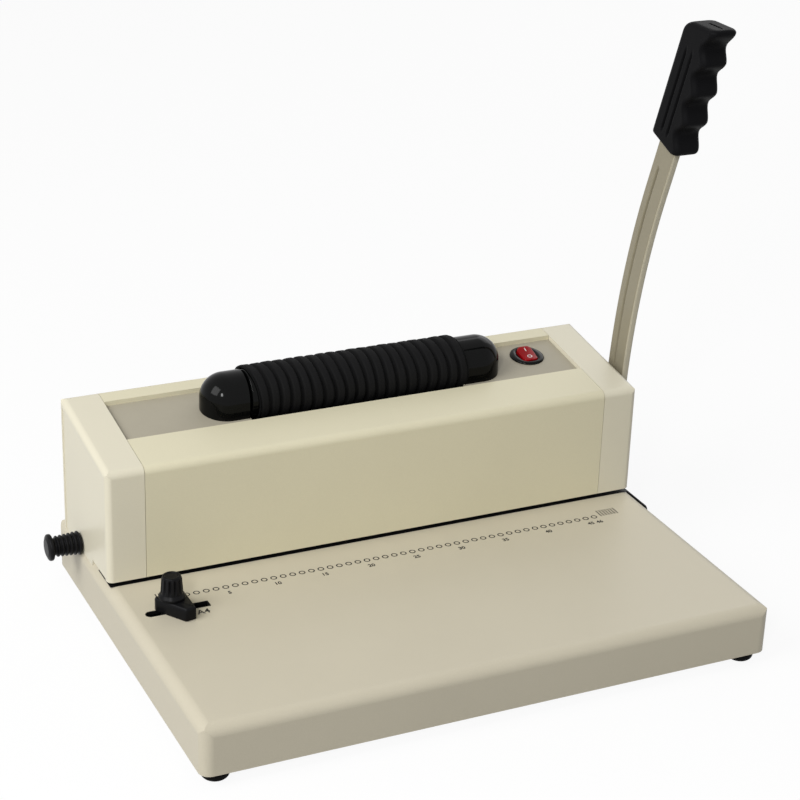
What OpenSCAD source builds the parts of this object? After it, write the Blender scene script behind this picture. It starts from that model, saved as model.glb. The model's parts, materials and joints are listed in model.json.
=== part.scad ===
// Desk coil binding machine: a 46-hole lever punch on a sheet steel base,
// with an electric ribbed roller on top that winds the coil into the holes.
// X runs along the row of holes, Y from front to back, Z up from the desk.

/* [Base] */
// Width of the base
base_w = 372; // [365:1:420]
// Depth of the base, front to back
base_d = 274; // [262:1:310]
// Height of the top face of the base above the desk
base_top = 40; // [36:1:48]
// Height of the rubber feet under the base
foot_h = 8; // [5:0.5:12]
// Diameter of a rubber foot
foot_d = 17; // [12:0.5:22]
// Distance of a foot's centre from the two nearest sides
foot_inset = 12; // [11:0.5:24]
// Rounding of the base's edges
base_r = 7; // [3:0.5:9]
// Sheet thickness of the base
base_wall = 2; // [1:0.25:2.5]

/* [Housing] */
// Distance from the back of the housing to the back of the base
housing_rear = 8; // [7.5:0.5:14]
// Depth of the housing, front to back
housing_d = 95; // [92:1:100]
// Distance of the housing's ends from the sides of the base
housing_inset = 1.5; // [1:0.25:4]
// Height of the housing's front edge above the base
housing_h = 76.8; // [74:0.1:90]
// Upward slope of the housing's top towards the back, in degrees
top_slope = 7.6; // [5:0.1:10]
// Length of each end cap along the housing
cap_len = 24.5; // [20:0.5:30]
// Sheet thickness of the covers
cover_t = 1.5; // [1:0.1:2]
// Wall of the moulded end caps
cap_wall = 2.5; // [1.5:0.1:3]
// Rounding of the housing's edges
housing_r = 5; // [3.5:0.5:7]
// Depth of the sunk side face of an end cap
side_step = 0.5; // [0.3:0.1:1]
// Width of the rim round an end cap's side face
side_rim = 5.5; // [4:0.5:10]
// Seam between the end caps and the covers
seam = 0.3; // [0.1:0.05:0.8]
// Height of the paper throat under the front cover
throat_h = 2.5; // [2:0.1:4]
// Length of the throat that is open at the ends
throat_open = 34; // [26:1:36]
// Width of the front lip of the top
lip_front = 34; // [30:1:36]
// Width of the rear lip of the top
lip_rear = 15; // [10:0.5:18]
// Depth of the recess between the lips
recess_depth = 3; // [2:0.25:4]

/* [Punch] */
// Least distance from a guide post to the nearest hole of the row
row_end = 11; // [11:0.25:20]
// Pitch of the holes
hole_pitch = 6.35; // [6:0.01:6.45]
// Diameter of a punch pin
pin_d = 4; // [3:0.1:4.2]
// Clearance round a pin, on the radius
pin_gap = 0.1; // [0.05:0.01:0.2]
// Distance of the row of holes behind the front of the housing
row_back = 40; // [39:0.5:42]
// Thickness of the die block
die_t = 12; // [8:0.5:13]
// Width of the die block and of the guide plate
die_w = 18; // [16:0.5:19]
// Distance of the row of holes from the die's front edge
die_row = 14; // [12:0.25:14.5]
// Thickness of the pin guide plate
guide_t = 10; // [7:0.5:11]
// Width of the press beam
beam_w = 20; // [18.5:0.5:21]
// Depth of the pins' seats in the press beam
pin_seat = 8; // [5:0.5:9]
// Diameter of a guide post
post_d = 10; // [8:0.5:11]
// Distance of a guide post from its side frame
post_inset = 13.5; // [13:0.25:20]
// Height of the guide posts above the guide plate
post_h = 27; // [24:0.5:28]

/* [Lever] */
// Height of the main shaft above the base
shaft_up = 48; // [46:0.5:52]
// Diameter of the main shaft
shaft_d = 14; // [12:0.5:15]
// Throw of the cams
cam_throw = 7; // [6:0.1:7.5]
// Radius of the cams
cam_r = 16; // [15.5:0.1:17]
// Thickness of a cam
cam_t = 14; // [8:0.5:18]
// Distance between the two cams
cam_span = 200; // [190:1:206]
// Swing of the lever, in degrees
lever_swing = 80; // [60:1:84]
// Gap between a cam and the press beam
cam_gap = 0.4; // [0.35:0.05:0.8]
// Width of the lever's bar
lever_w = 20; // [14:0.5:24]
// Thickness of the lever's bar
lever_t = 5; // [4:0.25:6]
// Gap between the right end cap and the lever's hub
lever_gap = 3; // [2:0.25:5]
// Distance from the hub's inner face to the bar
hub_step = 6; // [5:0.25:8]
// Radius of the lever's hub
hub_r = 17; // [14:0.5:19]
// Forward lean of the lever's lower end, in degrees
lever_lean = 3.7; // [2:0.1:9]
// Straight length of the lever's lower end
lever_straight = 10; // [5:1:70]
// Radius of the lever's bend
lever_bend_r = 565; // [420:5:800]
// Length of the bent stretch of the lever
lever_bend_len = 156; // [110:1:180]
// Straight length of the lever between its bend and the grip
lever_top = 39; // [10:1:60]
// Length of the grip along the bar's middle line
grip_len = 87.5; // [80:0.5:110]
// Thickness of the grip
grip_t = 19; // [14:0.5:20]
// Reach of the grip behind the bar's middle line
grip_back = 13; // [12:0.5:16]
// Reach of the grip in front of the bar's middle line
grip_front = 19; // [16:0.5:22]
// Depth of a finger scallop
scallop = 5; // [2:0.25:5.5]

/* [Roller] */
// Radius of the ribbed sleeve over its ribs
roller_r = 18.8; // [16:0.1:19]
// Length of the ribbed sleeve
roller_len = 148; // [130:1:152]
// Number of ribs on the sleeve
ribs = 20; // [12:1:26]
// Depth of the grooves between the ribs
rib_depth = 1.6; // [0.6:0.1:2.5]
// Height of the roller's axis above the recessed panel
roller_up = 8; // [6:0.25:10]
// Diameter of the roller's axle
axle_d = 10; // [7:0.5:11]
// Radius of the bearing covers
dome_r = 16.3; // [15:0.1:17.5]
// Length of the left bearing cover along the roller
dome_len = 27.5; // [25:0.5:34]
// Length of the right bearing cover along the roller
dome_right = 31; // [25:0.5:34]
// Wall of a bearing cover
dome_wall = 2; // [1.2:0.1:2.4]
// Running clearance of axles and shafts, on the radius
run_gap = 0.05; // [0.03:0.01:0.09]
// Radius of the roller's pulley
roller_pulley_r = 9; // [7:0.25:10]
// Radius of the motor's pulley
motor_pulley_r = 6; // [4.5:0.25:8]
// Radius of the motor
motor_r = 18; // [14:0.5:19]
// Length of the motor
motor_len = 60; // [40:1:66]

/* [Controls] */
// Diameter of the switch's bezel
switch_d = 23.5; // [20:0.5:24]
// Distance of the switch from the right end cap
switch_in = 26; // [20:0.5:29]
// Diameter of the margin rod's stem
rod_d = 6; // [4:0.25:6]
// Distance of the margin rod behind the row of holes
rod_back = 17.5; // [17:0.25:19]
// Throw of the margin stops
stop_throw = 3; // [1.5:0.25:3.25]
// Radius of the margin stops
stop_r = 9; // [7:0.25:9.5]
// Diameter of the margin knob's shank
knob_d = 14.5; // [10:0.5:18]
// Length of the margin knob
knob_len = 19.5; // [14:0.5:26]
// Width of the slot of the side guide
slot_w = 6; // [5:0.25:7]
// Length of the slot of the side guide
slot_len = 37; // [36:0.5:50]
// Distance of the slot in front of the housing
slot_ahead = 40.5; // [36:0.5:60]
// Distance from the edge of the paper to the first hole
paper_edge = 4.625; // [3:0.125:6]
// Height of the side guide's block
block_h = 8.5; // [6:0.5:12]
// Height of the side guide's clamp knob
clamp_h = 18; // [12:0.5:24]

/* [Chip tray] */
// Width of the chip tray
tray_w = 84; // [70:1:88]
// Height of the chip tray
tray_h = 15.5; // [10:0.5:16]
// Gap between the chip tray's inner end and the left side frame
tray_end = 14; // [13:0.5:40]
// Wall of the chip tray
tray_wall = 1.6; // [1:0.1:2.5]
// Distance of the tray's front side ahead of the housing
tray_ahead = 16; // [14:1:22]

/* [Hidden] */
$fn = 64;

cream = "#d8d2bd";
black = "#161616";
steel = "#a9adb0";
over = 1;

// Levels and lines shared by the pieces
plate_t = 2;
plate_top = foot_h + plate_t;
rear_y = base_d / 2 - housing_rear;
front_y = rear_y - housing_d;
housing_w = base_w - 2 * housing_inset;
throat_z = base_top + throat_h;
edge_z = base_top + housing_h;
slope = tan(top_slope);
cover_x = housing_w / 2 - cap_len;
panel_front = front_y + lip_front;
panel_rear = rear_y - lip_rear;
frame_t = 5;
frame_out = 7.5;
frame_x = cover_x + frame_out;
row_y = front_y + row_back;
holes = floor(2 * (frame_x - post_inset - row_end) / hole_pitch) + 1;
row_x = -(holes - 1) * hole_pitch / 2;
hole_r = pin_d / 2 + pin_gap;
function lip_z(y) = edge_z + (y - front_y) * slope;
function panel_z(y) = lip_z(y) - recess_depth / cos(top_slope);

// Frames, die and guide plate
frame_ahead = 6;
frame_inside = 9;
frame_front = panel_front - frame_ahead;
frame_rear = rear_y - frame_inside;
die_front = row_y - die_row;
die_rear = die_front + die_w;
guide_top = throat_z + guide_t;
bay_gap = 1;
bay_x = frame_x + frame_t + bay_gap;
screw_d = 5;
screw_head = 1.5 * screw_d;
tap_len = 8;
tray_y = front_y - tray_ahead;
tray_rear = tray_y + tray_w;
tray_gap = 0.5;
tray_x = base_w / 2 + tray_gap;
tray_len = tray_x + frame_x - tray_end;
rail_t = 1.2;
rail_h = 8;
foot_l = 12;
foot_gap = 4;
foot_w = 14;
foot_t = 3;
frame_foot = tray_rear + foot_gap;
cap_screw_d = 3;
cap_screw_len = 8;
cap_screw_x = frame_x + frame_t / 2;
cap_screw_up = 20;
cap_screw_span = 40;
cap_screw_z = [base_top + cap_screw_up, base_top + cap_screw_up + cap_screw_span];

// Press: the cams' middles swing past the shaft's front side
half_swing = lever_swing / 2;
stroke = 2 * cam_throw * sin(half_swing);
shaft_y = row_y + cam_throw * (1 + cos(half_swing)) / 2;
shaft_z = base_top + shaft_up;
beam_top = shaft_z + cam_throw * sin(half_swing) - cam_r - cam_gap;
beam_rise = 1;
beam_z = guide_top + stroke + beam_rise;
pin_tip = throat_z + 0.5;
spring_seat = 8;
wire_d = 1.6;
spring_r = post_d / 2 + 2.2;
spring_bore = spring_r + wire_d / 2 + 0.3;

// Lever and grip, in the plane across the shaft
hub_x = housing_w / 2 + lever_gap;
bar_x = hub_x + hub_step;
lever_end = lever_lean + lever_bend_len / lever_bend_r * 180 / PI;
bend_start = [-lever_straight * sin(lever_lean), lever_straight * cos(lever_lean)];
bend_mid = bend_start - lever_bend_r * [cos(lever_lean), sin(lever_lean)];
bend_end = bend_mid + lever_bend_r * [cos(lever_end), sin(lever_end)];
grip_at = bend_end + lever_top * [-sin(lever_end), cos(lever_end)];
grip_x = bar_x + lever_t / 2 - grip_t / 2;
grip_head = [-cos(lever_end), sin(lever_end)];
grip_rear = grip_len - grip_back * tan(lever_end);
grip_fore = grip_len + grip_front * tan(lever_end);
fingers = 4;
finger_end = 14.5;
tang_len = 64;
finger_pitch = (grip_fore - 2 * finger_end) / (fingers - 1);

// Roller drive
roller_y = (panel_front + panel_rear) / 2;
roller_z = panel_z(roller_y) + roller_up;
side_gap = 2;
dome_x = roller_len / 2 + side_gap;
bearing_t = 5;
bearing_w = 18;
bearing_over = 8;
bearing_x = dome_x + dome_wall;
pulley_gap = 2;
pulley_x = bearing_x + bearing_t + pulley_gap;
pulley_t = 6;
motor_gap = 2.5;
motor_up = 12;
motor_shaft = 14;
motor_y = rear_y - cover_t - motor_r - motor_gap;
motor_z = base_top + motor_up + motor_r;
motor_x = -pulley_x + motor_shaft;
belt_t = 1.6;
belt_gap = run_gap;
ear_t = 1.2;
ear_gap = 0.3;
bar_up = 4;
bar_w = 12;
bar_z = base_top + bar_up;
bar_t = motor_z - motor_r - bar_z - ear_t - ear_gap;
bar_y = frame_rear - bar_w - 1;

// Margin rod, side guide
rod_y = row_y + rod_back;
rod_gap = 0.4;
rod_z = base_top + rod_d / 2 + rod_gap;
knob_gap = 1.5;
knob_x = -base_w / 2 - knob_gap;
slot_y = front_y - slot_ahead;
stop_x = row_x - paper_edge;
clamp_back = 10;
clamp_x = stop_x - clamp_back;
slot_past = 13.5;
slot_x = clamp_x - slot_past;
stud_d = slot_w - 1;

module along_x(x0, x1) {
  translate([x0, 0, 0]) rotate([90, 0, 90]) linear_extrude(x1 - x0) children();
}

module rod_x(d, x0, x1, y, z) {
  translate([x0, y, z]) rotate([0, 90, 0]) cylinder(d = d, h = x1 - x0);
}

module rounded_rect(w, d, r) {
  square([w - 2 * r, d], center = true);
  square([w, d - 2 * r], center = true);
  for (sx = [-1, 1], sy = [-1, 1]) translate([sx * (w / 2 - r), sy * (d / 2 - r)]) circle(r);
}

// A face rounded at its two upper corners, for one side of the base
module crowned(w, h, r) {
  translate([-w / 2, 0]) square([w, h - r]);
  translate([-w / 2 + r, 0]) square([w - 2 * r, h]);
  for (s = [-1, 1]) translate([s * (w / 2 - r), h - r]) circle(r);
}

// Box with rounded top and upright edges
module pillow(w, d, h, r) {
  intersection() {
    linear_extrude(h) rounded_rect(w, d, r);
    along_x(-w / 2 - over, w / 2 + over) crowned(d, h, r);
    translate([0, d / 2 + over, 0]) rotate([90, 0, 0]) linear_extrude(d + 2 * over) crowned(w, h, r);
  }
}

// The rounded part that is cut from a corner between two edges' directions
module corner_waste(p, u, v, r) {
  half = acos(u * v) / 2;
  t = r / tan(half);
  c = p + (u + v) / norm(u + v) * r / sin(half);
  difference() {
    polygon([p - (u + v) * r, p + u * t, c, p + v * t]);
    translate(c) circle(r);
  }
}

// Side view of the housing, drawn in by a wall
module housing_side(wall, low) {
  a = [front_y + wall, lip_z(front_y + wall) - wall / cos(top_slope)];
  b = [rear_y - wall, lip_z(rear_y - wall) - wall / cos(top_slope)];
  up = [cos(top_slope), sin(top_slope)];
  difference() {
    polygon([[a[0], low], a, b, [b[0], low]]);
    corner_waste(a, [0, -1], up, housing_r - wall);
    corner_waste(b, [0, -1], -up, housing_r - wall);
  }
}

// The same side view drawn in by a wall, with flat corners, for the caps' hollow
module housing_hollow(wall, low) {
  r = max(housing_r - wall, 0.5);
  a = [front_y + wall, lip_z(front_y + wall) - wall / cos(top_slope)];
  b = [rear_y - wall, lip_z(rear_y - wall) - wall / cos(top_slope)];
  up = [cos(top_slope), sin(top_slope)];
  down = [0, -1];
  ta = r / tan((90 + top_slope) / 2);
  tb = r / tan((90 - top_slope) / 2);
  polygon([[a[0], low], a + ta * down, a + ta * up, b - tb * up, b + tb * down, [b[0], low]]);
}

module cover_sheet(low) {
  difference() {
    housing_side(0, low);
    housing_side(cover_t, low - over);
  }
}

// Step of a lip down to the recessed panel, behind the line at y
module lip_step(y) {
  drop = recess_depth / cos(top_slope) + cover_t;
  polygon([[y, lip_z(y) - drop], [y, lip_z(y) - cover_t / 2], [y + cover_t, lip_z(y + cover_t) - cover_t / 2],
    [y + cover_t, lip_z(y + cover_t) - drop]]);
}

module base_outer(grow = 0) {
  translate([0, 0, foot_h - grow]) pillow(base_w, base_d, base_top - foot_h + grow, base_r);
}

// The base's two long edges alone, carried past its front and back
module base_sides() {
  translate([0, base_d, foot_h]) rotate([90, 0, 0]) linear_extrude(2 * base_d)
    crowned(base_w, base_top - foot_h, base_r);
}

module guide_slot(w) {
  translate([slot_x, slot_y]) circle(d = w);
  translate([slot_x, slot_y - w / 2]) square([slot_len, w]);
}

module base_shell() {
  color(cream) difference() {
    base_outer();
    translate([0, 0, foot_h - over]) pillow(base_w - 2 * base_wall, base_d - 2 * base_wall,
      base_top - foot_h - base_wall + over, base_r - base_wall);
    translate([-bay_x, die_front, base_top - base_wall - over])
      cube([2 * bay_x, frame_rear + bay_gap - die_front, base_wall + 2 * over]);
    translate([0, 0, base_top - base_wall - over]) linear_extrude(base_wall + 2 * over) guide_slot(slot_w);
    translate([base_w / 2 - base_wall - over, tray_y - tray_gap, plate_top])
      cube([base_wall + 2 * over, tray_w + 2 * tray_gap, tray_h + 2 * tray_gap]);
  }
}

module at_feet() {
  for (sx = [-1, 1], sy = [-1, 1])
    translate([sx * (base_w / 2 - foot_inset), sy * (base_d / 2 - foot_inset), 0]) children();
}

module bottom_plate() {
  color(steel) difference() {
    translate([0, 0, foot_h]) linear_extrude(plate_t)
      rounded_rect(base_w - 2 * base_wall, base_d - 2 * base_wall, base_r - base_wall);
    at_feet() cylinder(d = screw_d + 0.4, h = plate_top + over);
  }
}

// Dome of rubber: a short wall with a rounded underside and a screw well
module rubber_feet() {
  dome = foot_h * 0.45;
  color(black) at_feet() difference() {
    rotate_extrude() difference() {
      square([foot_d / 2, foot_h]);
      difference() {
        translate([foot_d / 2 - dome, -over]) square([dome + over, dome + over]);
        translate([foot_d / 2 - dome, dome]) circle(dome);
      }
    }
    translate([0, 0, -over]) cylinder(d = foot_d * 0.42, h = foot_h / 2 + over);
    cylinder(d = screw_d + 0.4, h = foot_h + over);
  }
}

module foot_screws() {
  color(steel) at_feet() {
    translate([0, 0, foot_h / 2 - 2]) cylinder(d = foot_d * 0.38, h = 2);
    translate([0, 0, foot_h / 2]) cylinder(d = screw_d, h = plate_top + 3 - foot_h / 2);
    translate([0, 0, plate_top]) difference() {
      cylinder(d = 2 * screw_d, h = 2.5, $fn = 6);
      translate([0, 0, -over]) cylinder(d = screw_d, h = 5);
    }
  }
}

plate_screw_in = 4;
plate_screw_y = [die_front + plate_screw_in, die_rear - plate_screw_in];
plate_screw_z = [base_top - die_t / 2, throat_z + guide_t / 2];

module at_plate_screws() {
  for (y = plate_screw_y, z = plate_screw_z) translate([0, y, z]) children();
}

// Upright steel plate that carries the shaft and the punch
module side_frame() {
  top = lip_z(frame_front) - frame_inside;
  difference() {
    along_x(frame_x, frame_x + frame_t) difference() {
      translate([frame_front, plate_top]) square([frame_rear - frame_front, top - plate_top]);
      translate([shaft_y, shaft_z]) circle(d = shaft_d + 6);
      translate([rod_y, rod_z]) circle(d = rod_d + 2 * run_gap);
    }
    at_plate_screws() translate([frame_x - over, 0, 0]) rotate([0, 90, 0])
      cylinder(d = screw_d + 0.4, h = frame_t + 2 * over);
    at_cap_screws() cylinder(d = cap_screw_d, h = cap_screw_len + over);
  }
  difference() {
    translate([frame_x - foot_l, frame_foot, plate_top]) cube([foot_l, foot_w, foot_t]);
    translate([frame_x - foot_l / 2, frame_foot + foot_w / 2, plate_top - over])
      cylinder(d = screw_d, h = foot_t + 2 * over);
  }
}

// Screws from behind, through the right end cap into the frame's rear edge
module at_cap_screws() {
  for (z = cap_screw_z) translate([cap_screw_x, frame_rear - cap_screw_len, z]) rotate([-90, 0, 0]) children();
}

module side_frame_left() { color(steel) mirror([1, 0, 0]) side_frame(); }

module side_frame_right() {
  color(steel) difference() {
    side_frame();
    translate([frame_x - over, frame_front - over, plate_top - over])
      cube([frame_t + 2 * over, tray_rear + 2 - frame_front + over, tray_h + 3]);
  }
}

module frame_screws() {
  color(steel) for (s = [-1, 1]) translate([s * (frame_x - foot_l / 2), frame_foot + foot_w / 2, plate_top]) {
    cylinder(d = screw_d, h = foot_t);
    translate([0, 0, foot_t]) cylinder(d = screw_head, h = 3);
  }
}

module tie_bar() {
  color(steel) translate([-frame_x, bar_y, bar_z]) cube([2 * frame_x, bar_w, bar_t]);
}

module hole_row(r, z0, z1) {
  for (i = [0 : holes - 1]) translate([row_x + i * hole_pitch, row_y, z0]) cylinder(r = r, h = z1 - z0);
}

module at_posts() {
  for (s = [-1, 1]) translate([s * (frame_x - post_inset), row_y, 0]) children();
}

// Blind screw holes in the two ends of a plate
module end_taps(z) {
  for (s = [-1, 1], y = plate_screw_y) rod_x(screw_d, s * frame_x - tap_len, s * frame_x + tap_len, y, z);
}

module die_block() {
  color(steel) difference() {
    translate([-frame_x, die_front, base_top - die_t]) cube([2 * frame_x, die_w, die_t]);
    hole_row(hole_r, base_top - die_t - over, base_top + over);
    end_taps(plate_screw_z[0]);
  }
}

module pin_guide_plate() {
  color(steel) difference() {
    translate([-frame_x, die_front, throat_z]) cube([2 * frame_x, die_w, guide_t]);
    hole_row(hole_r, throat_z - over, guide_top + over);
    at_posts() translate([0, 0, throat_z + 2]) cylinder(d = post_d - 2, h = guide_t);
    end_taps(plate_screw_z[1]);
  }
}

module plate_screws() {
  color(steel) for (s = [0, 1]) mirror([s, 0, 0]) at_plate_screws() {
    rod_x(screw_d, frame_x - tap_len, frame_x + frame_t, 0, 0);
    rod_x(screw_head, frame_x + frame_t, frame_x + frame_t + 3, 0, 0);
  }
}

module guide_posts() {
  color(steel) at_posts() {
    translate([0, 0, throat_z + 2]) cylinder(d = post_d - 2, h = guide_t);
    translate([0, 0, guide_top]) cylinder(d = post_d, h = post_h);
  }
}

module front_cover() {
  color(cream) along_x(seam - cover_x, cover_x - seam) {
    intersection() {
      cover_sheet(throat_z);
      translate([front_y - over, 0]) square([lip_front + over, edge_z * 2]);
    }
    lip_step(panel_front - cover_t);
  }
}

module rear_cover() {
  color(cream) difference() {
    along_x(seam - cover_x, cover_x - seam) {
      intersection() {
        cover_sheet(base_top);
        translate([panel_rear, 0]) square([lip_rear + over, edge_z * 2]);
      }
      lip_step(panel_rear);
    }
    inlet_cut();
  }
}

// Sloped frame on the top face of the recessed panel: z is its normal
module on_panel(x, y) {
  translate([x, y, panel_z(y)]) rotate([top_slope, 0, 0]) children();
}

module top_panel() {
  roller_slot = 2 * roller_r + 1.5;
  belt_slot = 2 * (roller_pulley_r + belt_t + 2);
  color("#b9b39f") difference() {
    along_x(seam - cover_x, cover_x - seam) polygon([
      [panel_front, panel_z(panel_front)], [panel_rear, panel_z(panel_rear)],
      [panel_rear, panel_z(panel_rear) - cover_t], [panel_front, panel_z(panel_front) - cover_t]]);
    translate([-dome_x + 0.5, roller_y - roller_slot / 2, panel_z(roller_y) - 9])
      cube([2 * dome_x - 1, roller_slot, 18]);
    translate([-pulley_x - pulley_t - 1, roller_y - belt_slot / 2, panel_z(roller_y) - 9])
      cube([pulley_t + 2, belt_slot, 18]);
    on_panel(cover_x - switch_in, switch_y) translate([0, 0, -5]) cylinder(d = switch_d - 3.5, h = 10);
  }
}

// All below the sloping top, with its two long edges rounded
module under_roof(r) {
  h = 2 * edge_z;
  translate([0, front_y, edge_z]) rotate([top_slope, 0, 0]) translate([0, 2 * housing_d, -h])
    rotate([90, 0, 0]) linear_extrude(4 * housing_d) crowned(housing_w, h, r);
}

// Left end cap, seated on the rounded edge of the base, with a rim that the covers meet
module end_cap() {
  seat = base_top - base_r;
  rim_t = 2;
  rim_w = recess_depth + cover_t + 2;
  edge_r = housing_r * 0.8;
  x0 = -housing_w / 2;
  difference() {
    intersection() {
      along_x(x0, -cover_x) housing_side(0, seat);
      translate([0, (front_y + rear_y) / 2, 0]) linear_extrude(edge_z * 2)
        rounded_rect(housing_w, housing_d, edge_r);
      under_roof(edge_r);
    }
    along_x(x0 - over, x0 + side_step) housing_hollow(side_rim, seat - over);
    along_x(x0 + cap_wall, -cover_x - rim_t) housing_hollow(cap_wall, seat - over);
    along_x(x0 + cap_wall, -cover_x + over) housing_hollow(rim_w, seat - over);
    translate([x0 - over, front_y - over, seat - over])
      cube([cap_len + 2 * over, throat_open + over, throat_z - seat + over]);
    base_sides();
    mirror([1, 0, 0]) at_cap_screws() cylinder(d = cap_screw_d, h = housing_d);
  }
}

module end_cap_left() {
  color(cream) difference() {
    end_cap();
    rod_x(rod_d + 2, -housing_w / 2 - over, -cover_x, rod_y, rod_z);
  }
}

module end_cap_right() {
  color(cream) difference() {
    mirror([1, 0, 0]) end_cap();
    rod_x(shaft_d + 3, cover_x, housing_w / 2 + over, shaft_y, shaft_z);
  }
}

module cover_screws() {
  reach = rear_y - frame_rear + cap_screw_len;
  color(steel) for (s = [0, 1]) mirror([s, 0, 0]) at_cap_screws() {
    cylinder(d = cap_screw_d, h = reach);
    translate([0, 0, reach]) cylinder(d = 2 * cap_screw_d, h = 0.6 * cap_screw_d);
  }
}

module shaft_bushes() {
  color("#b08d57") for (s = [0, 1]) mirror([s, 0, 0]) difference() {
    union() {
      rod_x(shaft_d + 6, frame_x, frame_x + frame_t, shaft_y, shaft_z);
      rod_x(shaft_d + 11, frame_x - 3, frame_x, shaft_y, shaft_z);
    }
    rod_x(shaft_d + 2 * run_gap, frame_x - 5, frame_x + frame_t + over, shaft_y, shaft_z);
  }
}

module main_shaft() {
  color(steel) rod_x(shaft_d, -frame_x - frame_t - 3, bar_x + lever_t, shaft_y, shaft_z);
}

// Round cam on the shaft, its middle raised above the shaft's front side
module cam(s) {
  lift = cam_throw * [-cos(half_swing), sin(half_swing)];
  color(steel) difference() {
    rod_x(2 * cam_r, s * cam_span / 2 - cam_t / 2, s * cam_span / 2 + cam_t / 2,
      shaft_y + lift[0], shaft_z + lift[1]);
    rod_x(shaft_d, s * cam_span / 2 - cam_t, s * cam_span / 2 + cam_t, shaft_y, shaft_z);
  }
}

module cam_left() { cam(-1); }

module cam_right() { cam(1); }

// One edge of the lever's bar, at a distance from its middle line
function bar_edge(off) = let (n = 40, foot = [cos(lever_lean), sin(lever_lean)],
    head = [cos(lever_end), sin(lever_end)])
  concat([off * foot],
    [for (i = [0 : n]) let (t = lever_lean + (lever_end - lever_lean) * i / n)
      bend_mid + (lever_bend_r + off) * [cos(t), sin(t)]],
    [grip_at + off * head + tang_len * [-head[1], head[0]]]);

// Side view of the lever's bar, from the hub up into the grip
module lever_side() {
  left = bar_edge(-lever_w / 2);
  polygon(concat(bar_edge(lever_w / 2), [for (i = [len(left) - 1 : -1 : 0]) left[i]]));
}

module lever_arm() {
  color(cream) translate([0, shaft_y, shaft_z]) difference() {
    union() {
      along_x(bar_x, bar_x + lever_t) {
        lever_side();
        circle(hub_r);
      }
      along_x(hub_x, bar_x + lever_t / 2) circle(hub_r * 0.8);
    }
    rod_x(shaft_d, hub_x - over, bar_x + lever_t + over, 0, 0);
  }
}

// Side view of the grip: its head is level, and finger scallops run along its front
module grip_side() {
  grip_r = 5;
  scoop_r = (pow(finger_pitch * 0.42, 2) + scallop * scallop) / (2 * scallop);
  foot = [[grip_back, 0], [-grip_front, 0]];
  head = [[grip_back, grip_rear], [-grip_front, grip_fore]];
  difference() {
    polygon([foot[0], head[0], head[1], foot[1]]);
    corner_waste(foot[0], [-1, 0], [0, 1], grip_r);
    corner_waste(foot[1], [1, 0], [0, 1], grip_r);
    corner_waste(head[0], [0, -1], grip_head, grip_r);
    corner_waste(head[1], [0, -1], -grip_head, grip_r);
    for (i = [0 : fingers - 1])
      translate([-grip_front - scoop_r + scallop, finger_end + i * finger_pitch]) circle(scoop_r);
  }
}

module lever_grip() {
  color(black) translate([0, shaft_y, shaft_z]) difference() {
    along_x(grip_x, grip_x + grip_t) translate(grip_at) rotate(lever_end) grip_side();
    along_x(bar_x, bar_x + lever_t) lever_side();
  }
}

// Washer and nut that hold the hub on the shaft
module lever_bolt() {
  x = bar_x + lever_t;
  washer_t = 2;
  nut_t = 6.5;
  color(steel) {
    rod_x(shaft_d * 1.9, x, x + washer_t, shaft_y, shaft_z);
    translate([x + washer_t, shaft_y, shaft_z]) rotate([0, 90, 0]) cylinder(d = shaft_d * 1.2, h = nut_t, $fn = 6);
  }
}

module press_beam() {
  color(steel) difference() {
    translate([-frame_x + 4, row_y - beam_w / 2, beam_z]) cube([2 * frame_x - 8, beam_w, beam_top - beam_z]);
    hole_row(pin_d / 2 + pin_gap, beam_z - over, beam_z + pin_seat);
    at_posts() {
      translate([0, 0, beam_z - over]) cylinder(d = post_d + 2 * run_gap, h = beam_top - beam_z + 2 * over);
      translate([0, 0, beam_z - over]) cylinder(r = spring_bore, h = spring_seat + over);
    }
  }
}

module punch_pins() {
  color(steel) hole_row(pin_d / 2, pin_tip, beam_z + pin_seat);
}

// Ring of points round a coil of wire at one angle of its helix
function wire_ring(a, r, rise, sides) = [for (k = [0 : sides - 1])
  let (c = 360 * k / sides, q = r + wire_d / 2 * cos(c))
  [q * cos(a), q * sin(a), rise * a / 360 + wire_d / 2 * sin(c)]];

// Helical wire of a radius, a rise for each turn and a number of turns
module coil(r, rise, turns) {
  sides = 6;
  steps = 14 * turns;
  points = [for (i = [0 : steps]) each wire_ring(360 * turns * i / steps, r, rise, sides)];
  walls = [for (i = [0 : steps - 1], k = [0 : sides - 1])
    let (n = (k + 1) % sides, a = i * sides + k, b = i * sides + n)
    each [[a, b, b + sides], [a, b + sides, a + sides]]];
  caps = [for (k = [1 : sides - 2]) each [[0, k + 1, k], [steps * sides, steps * sides + k, steps * sides + k + 1]]];
  polyhedron(points, concat(walls, caps));
}

// Coil spring round a guide post, between the guide plate and the beam
module return_springs() {
  turns = 4;
  h = beam_z + spring_seat - guide_top - wire_d;
  color(steel) at_posts() translate([0, 0, guide_top + wire_d / 2]) coil(spring_r, h / turns, turns);
}

// Rubber sleeve with round ribs
module roller_sleeve() {
  pitch = roller_len / ribs;
  core = roller_r - rib_depth;
  color(black) translate([-roller_len / 2, roller_y, roller_z]) rotate([0, 90, 0]) difference() {
    union() {
      cylinder(r = core, h = roller_len);
      for (i = [0 : ribs - 1]) translate([0, 0, (i + 0.15) * pitch]) cylinder(r = roller_r, h = pitch * 0.7);
    }
    translate([0, 0, -over]) cylinder(d = axle_d, h = roller_len + 2 * over);
  }
}

module roller_axle() {
  color(steel) rod_x(axle_d, -pulley_x - pulley_t, bearing_x + bearing_t + 1, roller_y, roller_z);
}

module roller_pulley() {
  color(steel) difference() {
    rod_x(2 * roller_pulley_r, -pulley_x - pulley_t, -pulley_x, roller_y, roller_z);
    rod_x(axle_d, -pulley_x - pulley_t - over, -pulley_x + over, roller_y, roller_z);
  }
}

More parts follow.
